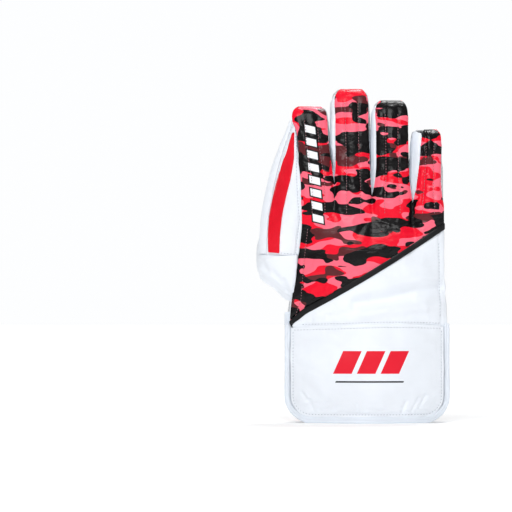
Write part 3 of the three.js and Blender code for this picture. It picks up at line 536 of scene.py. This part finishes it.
class Wall:
    """The finer copy of one wall of the glove.

    levels: how often it is subdivided. rim: how sharp its edges stay, from 0 to 1. hollow: which way the
    hand lies from it, or 0. widen: how far its rims reach out to the next wall, in millimetres.
    """

    def __init__(self, node, levels=2, rim=0.55, hollow=0, widen=0.25):
        bm = bmesh.new()
        bm.from_mesh(frame["nodes"][node].data)
        bmesh.ops.remove_doubles(bm, verts=bm.verts, dist=0.01 * MM)
        flat, square, sharp = math.radians(50), math.radians(170), math.radians(52)
        bmesh.ops.join_triangles(bm, faces=bm.faces, angle_face_threshold=flat, angle_shape_threshold=square)
        crease = bm.edges.layers.float.new("crease_edge")
        borders = []
        for edge in bm.edges:
            if edge.calc_face_angle(0) > sharp:
                edge[crease] = rim
                start, end = edge.verts[0].co, edge.verts[1].co
                borders += [start.lerp(end, share) for share in (0, 0.25, 0.5, 0.75)]
        self.rim_points = KDTree(len(borders))
        for index, point in enumerate(borders):
            self.rim_points.insert(point, index)
        self.rim_points.balance()
        slot = SLOT_OF[node]
        self.obj = added(node + "_look", bm, [OWN_LOOKS.get(node, LOOKS[slot]), LINING])
        self.hollow = hollow
        spread(self.obj, widen)
        fitted(self.obj, levels)
        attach(self.obj, "root")
        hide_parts(node)

    def points(self):
        """Every vertex, in millimetres."""
        return points_of(self.obj.data) / MM

    def from_rim(self):
        """How far every vertex is from the wall's nearest sewn edge, in millimetres."""
        return np.array([self.rim_points.find(point)[2] for point in points_of(self.obj.data)]) / MM

    def outer(self, outward):
        """1 on the outside of the wall, and 0 on its lining. outward: BACK or PALM."""
        return np.clip(0.4 + normals_of(self.obj.data)[:, 1] * outward * 2.4, 0, 1)

    def settle(self, outward, loose=None, pressure=4.0, growth=0.0, cap=2.0):
        """Lets the leather find its own folds as cloth, sewn down at the rims and over the lining.

        loose: how free each point is, from 0 to 1. cap: how far a point may move, in millimetres.
        """
        start, normals = points_of(self.obj.data), normals_of(self.obj.data)
        free = self.outer(outward) * rise(self.from_rim(), 1.0, 6.0)
        if loose is not None:
            free = free * loose(self.points())
        sewn = self.obj.vertex_groups.new(name="sewn")
        for index, share in enumerate(free):
            sewn.add([index], 1 - float(share), "REPLACE")
        cloth = self.obj.modifiers.new("cloth", "CLOTH")
        fabric = cloth.settings
        fabric.quality = 6
        fabric.mass = 0.2
        fabric.tension_stiffness = fabric.compression_stiffness = 12
        fabric.shear_stiffness = 6
        fabric.bending_stiffness = 0.4
        fabric.use_pressure = True
        fabric.uniform_pressure_force = pressure
        fabric.shrink_min = -growth
        fabric.vertex_group_mass = "sewn"
        fabric.effector_weights.gravity = 0
        cloth.point_cache.frame_start = 1
        cloth.point_cache.frame_end = CLOTH_STEPS
        scene = bpy.context.scene
        for step in range(1, CLOTH_STEPS + 1):
            scene.frame_set(step)
        applied(self.obj)
        scene.frame_set(1)
        moved = points_of(self.obj.data) - start
        length = np.linalg.norm(moved, axis=1, keepdims=True) / MM
        moved *= cap * np.tanh(length / cap) / np.maximum(length, 1e-9)
        raised = (moved * normals).sum(axis=1, keepdims=True)
        moved += normals * np.maximum(-SINK * MM - raised, 0) * (raised < 0)
        placed(self.obj, start + moved)
        return self

    def carve(self, shape, outward, refine=1):
        """Refines the wall, and moves its outer side along its normals by shape(points, way from rim)."""
        subdivided(self.obj, refine)
        applied(self.obj)
        height = shape(self.points(), self.from_rim())
        inner = self.outer(-outward) * np.minimum(height + SINK, 0)
        height = height * self.outer(outward) - inner
        placed(self.obj, points_of(self.obj.data) + normals_of(self.obj.data) * height[:, None] * MM)
        return self

    def warp(self, *moves):
        """Moves every point of the wall by each of the given shapers."""
        points = self.points()
        for move in moves:
            points = move(points)
        placed(self.obj, points * MM)
        return self

    def round_tips(self):
        """Rounds the corners of the fingertips."""
        bm = bmesh.new()
        bm.from_mesh(self.obj.data)
        points = self.points()
        nearest, _ = finger_at(points)
        bm.verts.ensure_lookup_table()
        near = [bm.verts[index] for index in np.flatnonzero(points[:, 2] > top_of(nearest) - 14)]
        for _ in range(10):
            bmesh.ops.smooth_vert(
                bm, verts=near, factor=0.5, use_axis_x=True, use_axis_y=True, use_axis_z=True,
            )
        bm.to_mesh(self.obj.data)
        bm.free()
        return self

    def puff(self, gusset):
        """Swells a finger's thumb side between the gusset's foot and its top."""
        points, normals = self.points(), normals_of(self.obj.data)
        foot, top = gusset["foot"], gusset["top"]
        share = np.clip(-normals[:, 0] * 1.5, 0, 1) * (points[:, 0] > gusset["beyond"])
        share *= rise(points[:, 2], foot, foot + 40) * (1 - rise(points[:, 2], top - 12, top))
        points[:, 0] -= gusset["swell"] * share
        placed(self.obj, points * MM)
        return self

    def open_side(self, gusset):
        """Turns a finger's thumb side towards the back of the hand, by as much as its back is drawn away."""
        points = self.points()
        low, high = points[:, 1].min(), points[:, 1].max()
        share = ((high - points[:, 1]) / (high - low)) ** 2 * (points[:, 0] > gusset["beyond"])
        points[:, 0] += opening(gusset, points) * share
        near_tip = rise(points[:, 2], gusset["top"] - 22, gusset["top"]) * (points[:, 0] > gusset["beyond"])
        points[:, 2] += gusset["reach"] * near_tip
        placed(self.obj, points * MM)
        return self

    def marked(self, name, share):
        """Keeps share(points), from 0 to 1, on the wall for its material to read."""
        layer = self.obj.data.attributes.new(name, "FLOAT", "POINT")
        layer.data.foreach_set("value", np.clip(share(self.points()), 0, 1))
        return self

    def line(self):
        """Puts the towelling on the side of the wall that the hand touches."""
        for face in self.obj.data.polygons:
            if face.normal.y * self.hollow > 0.25:
                face.material_index = 1
        return self


# Shapes of seams, padding and folds, as heights in millimetres

def dip(distance, width):
    """1 where distance is 0, falling to nothing over about that width."""
    return np.exp(-((distance / width) ** 2))


def rise(value, low, high):
    """From 0 at low to 1 at high, smoothly."""
    share = np.clip((value - low) / (high - low), 0, 1)
    return share * share * (3 - 2 * share)


def ripple(points, scale, seed, detail=2):
    """Smooth noise between about -1 and 1, scale in waves a millimetre along each axis."""
    shift = Vector((seed * 7.13, seed * 3.71, seed * 5.29))
    places = points * np.array(scale)
    return np.array([noise.fractal(Vector(place) + shift, 0.6, 2.0, detail) for place in places])


def path_distance(points, path):
    """How far each point lies from a line of (x, z) points, seen along Y."""
    flat = points[:, [0, 2]]
    best = np.full(len(flat), 1e9)
    for start, end in zip(path[:-1], path[1:]):
        start, end = np.array(start, float), np.array(end, float)
        run = end - start
        share = np.clip(((flat - start) @ run) / (run @ run), 0, 1)
        best = np.minimum(best, np.linalg.norm(flat - start - share[:, None] * run, axis=1))
    return best


def finger_line(finger, heights):
    """The middle of a finger's back and half its width, at each of the heights."""
    share = np.clip((heights - finger["base_z"]) / (finger["tip_z"] - finger["base_z"]), 0, 1)
    middle = finger["base_x"] + (finger["tip_x"] - finger["base_x"]) * np.sin(share * math.pi / 2)
    half = finger["base_half"] + (finger["tip_half"] - finger["base_half"]) * rise(share, 0, 0.3)
    return middle, half


def finger_at(points):
    """For each point, which finger it belongs to, and how far across that finger's back it lies, -1 to 1."""
    across = []
    for finger in FINGERS:
        middle, half = finger_line(finger, points[:, 2])
        across.append((points[:, 0] - middle) / half)
    across = np.array(across)
    nearest = np.abs(across).argmin(axis=0)
    return nearest, across[nearest, np.arange(len(points))]


def top_of(nearest):
    """The height of each point's fingertip."""
    return np.array([finger["tip_z"] for finger in FINGERS])[nearest]


def creased(points, paths, depth, width):
    """Valleys of that depth along lines of (x, z) points."""
    return -depth * sum(dip(path_distance(points, path), width) for path in paths)


def sewn_down(rim, depth=0.5, width=3.0):
    """The leather's fall to the seam along its rims."""
    return -depth * (1 - rise(rim, 0, width))


FINGER_CREASES = [
    [(-51, 263), (-42, 258), (-28, 262)], [(-48, 248), (-38, 250), (-26, 245)], [(-50, 285), (-40, 283)],
    [(5, 271), (12, 273), (17, 266)], [(-15, 254), (0, 250), (15, 254)], [(-2, 244), (16, 241)],
    [(-16, 284), (-4, 287)],
    [(23, 263), (36, 266), (48, 258)], [(30, 250), (50, 246)], [(22, 241), (38, 243)], [(40, 282), (52, 279)],
    [(64, 245), (76, 248), (87, 240)], [(68, 233), (88, 229)], [(72, 262), (84, 260)],
    [(-30, 205), (-12, 199), (8, 203)], [(28, 196), (48, 190), (64, 196)],
]
FINGER_PLEATS = [
    [(5, 268), (14, 269)], [(-12, 257), (10, 256)], [(26, 259), (46, 254)],
    [(66, 240), (84, 236)], [(-48, 255), (-30, 255)],
]


def back_print_shape(points, rim):
    """Padded rolls down each finger, creases at its joints, and soft folds on the back of the hand."""
    nearest, across = finger_at(points)
    tip = top_of(nearest)
    half = np.array([finger["tip_half"] for finger in FINGERS])[nearest]
    height = points[:, 2]
    on_finger = rise(height, CHANNEL_FOOT - 6, CHANNEL_FOOT + 22) * (1 - rise(height, tip - 12, tip - 4))
    shape = sewn_down(rim)
    for channel in CHANNELS:
        shape -= 0.8 * on_finger * dip((across - channel) * half, 1.3)
    shape += 0.55 * on_finger * np.cos(across * math.pi / 0.76) ** 2 * (np.abs(across) < 0.9)
    shape += creased(points, FINGER_CREASES, 0.9, 1.2) + creased(points, FINGER_PLEATS, -0.6, 1.8)
    near_tip = rise(height, tip - 12, tip - 5)
    gathers = np.sin(points[:, 0] * math.tau / 3.4 + 1.5 * np.sin(points[:, 0] / 5))
    shape += 0.2 * near_tip * gathers * rise(rim, 1.5, 4)
    shape += 0.35 * ripple(points, (0.035, 0.05, 0.11), 1)
    shape += 0.25 * ripple(points, (0.09, 0.1, 0.3), 2)
    shape += 0.9 * (1 - rise(height, 212, 240)) * ripple(points, (0.018, 0.02, 0.05), 3)
    return shape + creased(points, [THUMB_SIDE_ROW], 0.7, 1.2)


def cuff_border(points, inset):
    """Distance in from the line that runs inset from the cuff's outer edge, sides and rounded bottom."""
    half = CUFF_HALF - inset
    radius = CORNER - inset
    x = np.abs(points[:, 0] - CUFF_MIDDLE)
    z = points[:, 2] - inset
    side = half - x
    corner_x, corner_z = x - (half - radius), radius - z
    in_corner = (corner_x > 0) & (corner_z > 0)
    return np.where(in_corner, radius - np.hypot(corner_x, corner_z), np.minimum(side, z))


CUFF_PUCKERS = [
    [(63, 24), (56.5, 12)], [(70, 27), (64, 15)], [(51, 21), (47, 11)],
    [(-42, 22), (-38, 12)], [(-50, 30), (-44, 21)], [(2, 18), (4, 10)],
]


def cuff_shape(points, rim):
    """A pillow that dips at the binding, with a stitched line inside it and small puckers along it."""
    border = cuff_border(points, 6.7)
    shape = 0.7 * rise(border, 0, 9) + 0.15 - 0.45 * dip(border - 1.7, 0.9)
    top = CUFF_TOP - points[:, 2]
    shape -= 0.45 * dip(top - 2.4, 0.9)
    shape += 0.4 * ripple(points, (0.16, 0.05, 0.05), 4) * dip(border - 7, 6)
    shape += 0.9 * ripple(points, (0.015, 0.02, 0.028), 6) + 0.15 * ripple(points, (0.06, 0.06, 0.06), 19)
    return shape + creased(points, CUFF_PUCKERS, 1.1, 1.7)


def binding_shape(points, rim):
    """The fold along the middle of the binding, and the pull of its stitches."""
    border = cuff_border(points, 0)
    return -0.55 * dip(border - 2.6, 0.7) + 0.5 * ripple(points, (0.07, 0.07, 0.07), 17)


def raised_end(points):
    """Lifts the palm binding's end on the thumb side, where it runs on past the cuff's seam."""
    points[:, 2] += 11 * (points[:, 0] < -50) * rise(points[:, 2], 84, 94)
    return points


def back_white_shape(points, rim):
    """The loose leather above the cuff: long soft folds, and the sewn side."""
    x, _, z = points.T
    shape = creased(points, [[(2, 116), (35, 121.5), (62, 129), (84, 132)]], 4.2, 5.5)
    shape -= creased(points, [[(10, 106), (50, 111), (84, 113)]], 2.8, 6)
    shape += creased(points, [[(-24, 104), (5, 108), (34, 115)]], 1.1, 3)
    shape += creased(points, [[(56, 163), (70, 166), (84, 163)], [(60, 148), (72, 146), (84, 148)]], 0.9, 3.5)
    shape -= 0.8 * dip(x - 83.4 - 0.03 * (180 - z), 1.1)
    shape += 0.5 * ripple(points, (0.016, 0.02, 0.045), 7) + 0.12 * ripple(points, (0.05, 0.05, 0.12), 8)
    return shape - 0.4 * dip(z - 96.8, 0.9)


PALM_CREASES = [
    [(70.7, 215), (56.8, 222), (41.3, 228), (25.8, 233.5), (7.3, 237.5)],
    [(47.5, 201), (33.6, 206.5), (18.2, 213), (1.1, 218), (-14.3, 224.5)],
    [(52.2, 196.5), (53, 178), (50.7, 159.5), (41.3, 142.5), (33.6, 136)],
    [(86.2, 110), (73.8, 121), (59.9, 127), (38.2, 128.5), (13.5, 131.5)],
]


def palm_shape(points, rim):
    """Worn creases across the palm, and gathers at the fingertips."""
    nearest, _ = finger_at(points)
    tip = top_of(nearest)
    near_tip = rise(points[:, 2], tip - 12, tip - 5)
    gathers = np.sin(points[:, 0] * math.tau / 3.0 + 1.2 * np.sin(points[:, 0] / 4))
    shape = 0.35 * near_tip * (gathers - 0.5) * rise(rim, 0.5, 3)
    shape += 0.8 * ripple(points, (0.02, 0.02, 0.03), 9) + 0.25 * ripple(points, (0.08, 0.08, 0.08), 10)
    return shape + creased(points, PALM_CREASES, 1.5, 3.2) + sewn_down(rim, 0.4)


def gaping_rows(points):
    """Where bending opens the rubber's rows, which are sunk deeper there and painted darker as shade: the
    outer side of fingers and hand, and the creases.
    """
    _, across = finger_at(points)
    x, _, z = points.T
    creases = sum(dip(path_distance(points, path), 5.5) for path in PALM_CREASES)
    on_finger = 0.8 * rise(across, 0.2, 0.9) * rise(z, 205, 235)
    return on_finger + 0.7 * rise(x, 62, 86) * (1 - rise(z, 205, 235)) + 0.5 * creases


def painted_shade_on_thumb_sides(points):
    """Painted shade on the thumb side of each finger: there the rubber's colour is made bluer and darker."""
    _, across = finger_at(points)
    return 0.6 * rise(-across, 0.0, 0.9) * rise(points[:, 2], 200, 235)


WEB_LEFT_SEAM = [
    (-57.5, 292), (-64.8, 276.5), (-70.6, 260), (-76.4, 240.6),
    (-80.3, 221.2), (-83.2, 201.8), (-84.7, 182.4), (-85.2, 166),
]
WEB_RIGHT_SEAM = [
    (-55.6, 286), (-54.6, 264.8), (-55.1, 240.6), (-53.6, 216.3),
    (-52.2, 196.9), (-54.6, 177.5), (-55.6, 164),
]
WEB_FOOT_ROW = [(-83, 166), (-54, 163.5)]
THUMB_SIDE_ROW = [(-44, 189), (-47.8, 156), (-50.7, 119), (-56.5, 102)]


def web_shape(points, rim):
    """The seams on both sides of the stripe, and a soft swell between them."""
    shape = creased(points, [WEB_LEFT_SEAM, WEB_RIGHT_SEAM], 1.0, 1.1)
    return shape + 0.7 * ripple(points, (0.03, 0.03, 0.05), 13) + sewn_down(rim, 0.4)


def tree_of(*walls):
    bm = bmesh.new()
    for wall in walls:
        bm.from_mesh(wall.obj.data)
    tree = BVHTree.FromBMesh(bm)
    bm.free()
    return tree


def on_surface(tree, x, z, outward):
    """The point of a surface over (x, z), in metres, and its normal, seen from outside."""
    start = Vector((x * MM, outward * 0.2, z * MM))
    point, normal, _, _ = tree.ray_cast(start, Vector((0, -outward, 0)))
    return (point, normal) if point else None


def longer_edge(points):
    """Carries the web's outer edge down to the thumb."""
    points[:, 2] -= 7 * (1 - rise(points[:, 2], 168, 192))
    return points


# The stripe's two edges, as (height, x as cut, x as sewn on)
STRIPE_LEFT = [
    (164, -84.2, -82.6), (186, -83.7, -83.0), (200, -82.6, -82.0), (217, -80.0, -79.0),
    (236, -76.1, -74.2), (254, -71.2, -68.6), (266, -67.5, -64.0), (277, -63.5, -59.6),
]
STRIPE_RIGHT = [
    (164, -72.2, -71.6), (182, -71.2, -71.2), (200, -69.6, -69.0), (217, -67.5, -65.6),
    (236, -65.6, -61.6), (254, -63.0, -58.4), (266, -62.0, -57.4), (277, -62.0, -57.6),
]


def sewn_stripe(points):
    """Leans the stripe's upper end to the index finger, draws it to a point, and slants its lower end."""
    x, _, z = points.T
    edges = []
    for table in (STRIPE_LEFT, STRIPE_RIGHT):
        heights, cut, sewn = zip(*table)
        edges += [np.interp(z, heights, cut), np.interp(z, heights, sewn)]
    low, left, high, right = edges
    points[:, 0] = left + (x - low) / (high - low) * (right - left)
    slanted_end = (1 - rise(z, 164, 182)) * np.interp(x, [-84, -72], [2.0, 1.0])
    points[:, 2] = z + 4 * rise(z, 262, 277) + slanted_end
    return points


def reseated(wall, ground, move):
    """Moves a piece over the leather that it is sewn to, and keeps its height above it."""
    tree = tree_of(ground)
    old = wall.points()
    new = move(old.copy())
    for start, end in zip(old, new):
        before = on_surface(tree, start[0], start[2], BACK)
        after = on_surface(tree, end[0], end[2], BACK)
        if before and after:
            end[1] += (after[0].y - before[0].y) / MM
    placed(wall.obj, new * MM)


THUMB_LOWER_EDGE = [(-88, 140), (-77, 130), (-63, 119)]
THUMB_FOLDS = [[(-66, 126), (-73, 137), (-78, 145)], [(-63, 124), (-68, 137)], [(-84, 146), (-89, 156)]]


def thumb_shape(points, rim):
    """Folds that fan out from the thumb's root, the seam beside the hand, and the fall to the lower edge."""
    shape = creased(points, THUMB_FOLDS, 2.0, 3.4) + creased(points, [[(-54.6, 156), (-60.4, 119)]], 0.6, 1.1)
    shape += creased(points, [THUMB_LOWER_EDGE], 2.2, 4.5)
    return shape + 0.7 * ripple(points, (0.03, 0.03, 0.05), 14) + sewn_down(rim, 0.4)


def soft(amount, seed):
    """A shape of soft waves of about that height, with finer ones over them."""
    def shape(points, rim):
        broad = ripple(points, (0.03, 0.03, 0.05), seed)
        fine = ripple(points, (0.12, 0.12, 0.2), seed + 20)
        return amount * broad + 0.3 * amount * fine + sewn_down(rim, 0.3)
    return shape


def clear_of_channels(points):
    """1 where the leather of the fingers' backs isn't sewn down, 0 along the channels."""
    _, across = finger_at(points)
    foot = 1 - rise(points[:, 2], CHANNEL_FOOT - 8, CHANNEL_FOOT)
    return np.clip(np.min([np.abs(across - channel) for channel in CHANNELS], axis=0) / 0.15 + foot, 0, 1)


# The glove's walls

back_camo = Wall("back_camo", hollow=PALM).settle(BACK, clear_of_channels, pressure=3, growth=0.03, cap=1.5)
back_camo.carve(back_print_shape, BACK).line().warp(shaped_tips, shaped_index, opened_sides).round_tips()
back_white = Wall("back_white", hollow=PALM).settle(BACK, pressure=3, growth=0.02, cap=1.5)
back_white.carve(back_white_shape, BACK).line().warp(pointed_corner, bowed_seam)
Wall("back_band", widen=0.5).warp(pointed_corner, bowed_seam)
cuff_back = Wall("cuff_back", hollow=PALM, widen=0.6).settle(BACK, pressure=4, growth=0.015, cap=2)
cuff_back.carve(cuff_shape, BACK, refine=2).line().warp(bowed_seam)
palm = Wall("palm_facing", hollow=BACK, widen=0.1).carve(palm_shape, PALM)
# The palm keeps two marks for its rubber: where the rows open and are painted darker, and the painted shade
# on the fingers' thumb sides.
palm.marked("gaping", gaping_rows).marked("painted_shade", painted_shade_on_thumb_sides).line().round_tips()
cuff_palm_white = Wall("cuff_palm_white", hollow=BACK).settle(PALM, pressure=4, growth=0.015, cap=2)
cuff_palm_camo = Wall("cuff_palm_camo", hollow=BACK).settle(PALM, pressure=4, growth=0.02, cap=2)
for flap in (cuff_palm_white, cuff_palm_camo):
    flap.carve(cuff_shape, PALM, refine=2).line()
Wall("cuff_palm_band", hollow=BACK, widen=0.4).line()
Wall("cuff_palm_hem", hollow=BACK).line()
binding_back = Wall("cuff_binding_back", rim=0.2, widen=0.5).carve(binding_shape, BACK).warp(above_floor)
binding_palm = Wall("cuff_binding_palm", rim=0.2, widen=0.5).carve(binding_shape, PALM)
binding_palm.warp(raised_end, above_floor)
for gusset in GUSSETS:
    Wall(gusset["node"]).carve(soft(0.5, 11), BACK).puff(gusset).open_side(gusset).round_tips()
Wall("side_gusset_little").carve(soft(0.5, 12), BACK)
for name in ("side_gusset_index", "side_gusset_heel"):
    Wall(name).carve(soft(0.5, 12), BACK).warp(shaped_index, raised_top)
web_back = Wall("web_back", levels=3).carve(web_shape, BACK)
Wall("web_edge", levels=3).warp(longer_edge)
web_stripe = Wall("web_stripe", levels=3)
reseated(web_stripe, web_back, sewn_stripe)
Wall("web_facing").carve(soft(0.6, 18), PALM)
Wall("web_piping", levels=1, rim=0, widen=0)
Wall("thumb_base", levels=3).carve(thumb_shape, BACK).warp(shaped_thumb, level_with_web)
Wall("thumb_facing").carve(soft(0.8, 15), PALM).warp(shaped_thumb)
Wall("thumb_back").carve(soft(0.6, 16), BACK).warp(shaped_thumb)


# Stitching

def resampled(path, pitch):
    """Points at an even pitch along a line of (x, z) points, each with its direction."""
    path = [Vector(point) for point in path]
    made, carry = [], pitch / 2
    for start, end in zip(path[:-1], path[1:]):
        run = end - start
        length = run.length
        at = carry
        while at < length:
            made.append((start + run * (at / length), run.normalized()))
            at += pitch
        carry = at - length
    return made


def stitched(name, tree, paths, outward, material, pitch=3.0, length=2.2, width=0.75):
    """Rows of thread on a surface: each stitch is a small rounded bar half sunk in the leather."""
    half_height, proud = 0.38, 0.08
    bm = bmesh.new()
    for path in paths:
        for place, run in resampled(path, pitch):
            hit = on_surface(tree, place.x, place.y, outward)
            if hit is None:
                continue
            point, normal = hit
            if normal.y * outward < 0:
                normal = -normal
            forward = Vector((run.x, 0, run.y))
            forward = (forward - normal * forward.dot(normal)).normalized()
            side = normal.cross(forward)
            turn = Matrix((forward, side, normal)).transposed().to_4x4()
            size = Matrix.Diagonal((length * MM / 2, width * MM / 2, half_height * MM, 1))
            stitch = Matrix.Translation(point + normal * proud * MM) @ turn @ size
            bmesh.ops.create_uvsphere(bm, u_segments=6, v_segments=4, radius=1, matrix=stitch)
    obj = added(name, bm, [material])
    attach(obj, "root")


def cuff_line(top):
    """A line inside the cuff's edge: down one side, round the corners, along the bottom and up the other."""
    half, radius = CUFF_HALF - CUFF_ROW_INSET, CORNER - CUFF_ROW_INSET
    centre_x, centre_z = CUFF_MIDDLE + half - radius, CUFF_ROW_INSET + radius
    steps = 8
    turn = [math.pi / 2 * step / steps for step in range(steps + 1)]
    right = [(centre_x + radius * math.cos(angle), centre_z - radius * math.sin(angle)) for angle in turn]
    left = [(2 * CUFF_MIDDLE - x, z) for x, z in reversed(right)]
    return [(CUFF_MIDDLE + half, top), *right, *left, (CUFF_MIDDLE - half, top)]


def seam_row(start, height):
    """A row along the seam between the cuff and the back of the hand, bowed as the seam is."""
    line = bowed_seam(np.array([(x, 0.0, height) for x in range(start, 88, 4)]))
    return [(x, z) for x, _, z in line]


def channel_rows():
    """The rows down both channels of each finger, drawn aside as the fingers' backs are."""
    rows = []
    for finger in FINGERS:
        heights = np.linspace(CHANNEL_FOOT, finger["tip_z"] - 14, 9)
        middle, half = finger_line(finger, heights)
        for channel in CHANNELS:
            line = opened_sides(np.stack([middle + channel * half, 0 * heights, heights], axis=1))
            rows.append([(x, z) for x, _, z in line])
    return rows


cuff_tree, white_tree = tree_of(cuff_back), tree_of(back_white)
palm_cuff_tree = tree_of(cuff_palm_white, cuff_palm_camo)
web_rows = [WEB_LEFT_SEAM, WEB_RIGHT_SEAM, WEB_FOOT_ROW]
stitched("stitches_cuff_back", cuff_tree, [cuff_line(90), seam_row(-58, 91.6)], BACK, WHITE_THREAD)
stitched("stitches_back_seam", white_tree, [seam_row(-50, 96.8)], BACK, WHITE_THREAD)
stitched("stitches_back_side", white_tree, [[(84.6, 103), (83.2, 176)]], BACK, WHITE_THREAD)
stitched(
    "stitches_fingers", tree_of(back_camo), [*channel_rows(), THUMB_SIDE_ROW], BACK, PINK_THREAD,
    pitch=2.8, length=1.9, width=0.6,
)
stitched("stitches_web", tree_of(web_back), web_rows, BACK, WHITE_THREAD)
stitched("stitches_cuff_palm", palm_cuff_tree, [cuff_line(86)], PALM, WHITE_THREAD)


# Studio

# How bright the walls before the glove and beside it and the ceiling are, as shares of the wall behind it
FRONT_LIGHT = 0.8
SIDE_LIGHT = 0.68
CEILING_LIGHT = 0.34


def studio_floor():
    """A pale floor that glows a little, and more towards the back, so that no edge shows there."""
    bm = bmesh.new()
    bmesh.ops.create_grid(bm, x_segments=1, y_segments=1, size=7)
    finish = Finish("pale studio floor", Roughness=0.85, Emission_Color=(1, 1, 1, 1))
    back = finish.add("ShaderNodeSeparateXYZ", Vector=finish.place).outputs["Y"]
    finish.feed(finish.shader, "Emission Strength", finish.between(back, 0.3, 3.5, 0.17, 0.8))
    cloud = finish.grain(finish.place, 3, detail=2)
    finish.colour(finish.mixed(finish.between(cloud, 0.3, 0.7), rgb(250, 250, 250), rgb(248, 248, 248)))
    added("floor", bm, [finish.material])


def studio_walls():
    """A pale wall all round, brightest behind the glove, and a dimmer ceiling."""
    world = bpy.data.worlds.new("studio")
    bpy.context.scene.world = world
    world.use_nodes = True
    nodes, links = world.node_tree.nodes, world.node_tree.links
    background = nodes["Background"]
    background.inputs["Color"].default_value = (0.985, 0.992, 1.0, 1)
    direction = nodes.new("ShaderNodeTexCoord")
    parts = nodes.new("ShaderNodeSeparateXYZ")
    links.new(direction.outputs["Generated"], parts.inputs[0])
    sideways = nodes.new("ShaderNodeMath")
    sideways.operation = "ABSOLUTE"
    links.new(parts.outputs["X"], sideways.inputs[0])
    fades = (
        (parts.outputs["Z"], 0.2, 0.45, 1.0, CEILING_LIGHT),
        (parts.outputs["Y"], 0.5, 0.97, FRONT_LIGHT, 1.0),
        (sideways.outputs[0], 0.55, 0.9, 1.0, SIDE_LIGHT),
    )
    strength = background.inputs["Strength"]
    for reach, low, high, at_low, at_high in fades:
        fade = nodes.new("ShaderNodeMapRange")
        links.new(reach, fade.inputs["Value"])
        for socket, value in (("From Min", low), ("From Max", high), ("To Min", at_low), ("To Max", at_high)):
            fade.inputs[socket].default_value = value
        step = nodes.new("ShaderNodeMath")
        step.operation = "MULTIPLY"
        step.inputs[1].default_value = 1.0
        links.new(fade.outputs[0], step.inputs[0])
        links.new(step.outputs[0], strength)
        strength = step.inputs[1]


# What the lamps point at, above the middle of the glove's foot
LAMP_TARGET = Vector((0, 0, 0.17))
LAMPS = [
    {"name": "key", "place": (-0.3, -1.5, 1.9), "size": 1.3, "power": 32},
    {"name": "fill", "place": (1.5, -1.5, 0.8), "size": 1.2, "power": 1.0},
    {"name": "behind", "place": (0.2, 1.0, 1.9), "size": 0.7, "power": 18},
]


def studio_lamps():
    for lamp in LAMPS:
        light = bpy.data.lights.new(lamp["name"], "AREA")
        light.size = lamp["size"]
        light.energy = lamp["power"]
        holder = linked(lamp["name"], light)
        holder.location = lamp["place"]
        holder.rotation_euler = (LAMP_TARGET - holder.location).to_track_quat("-Z", "Y").to_euler()


def camera():
    """Straight on to the back of the hand, with the glove in the right half of the picture."""
    distance, frame_width = 5.0, 0.4966
    view_x, view_z, surface_y = -0.0944, 0.162, -0.03
    lens = bpy.data.cameras.new("camera")
    lens.sensor_width = 36
    lens.lens = lens.sensor_width * distance / frame_width
    holder = linked("camera", lens)
    holder.location = (view_x, surface_y - distance, view_z)
    holder.rotation_euler = Euler((math.pi / 2, 0, 0))
    bpy.context.scene.camera = holder


studio_floor()
studio_walls()
studio_lamps()
camera()
bpy.context.scene.view_settings.view_transform = "Standard"
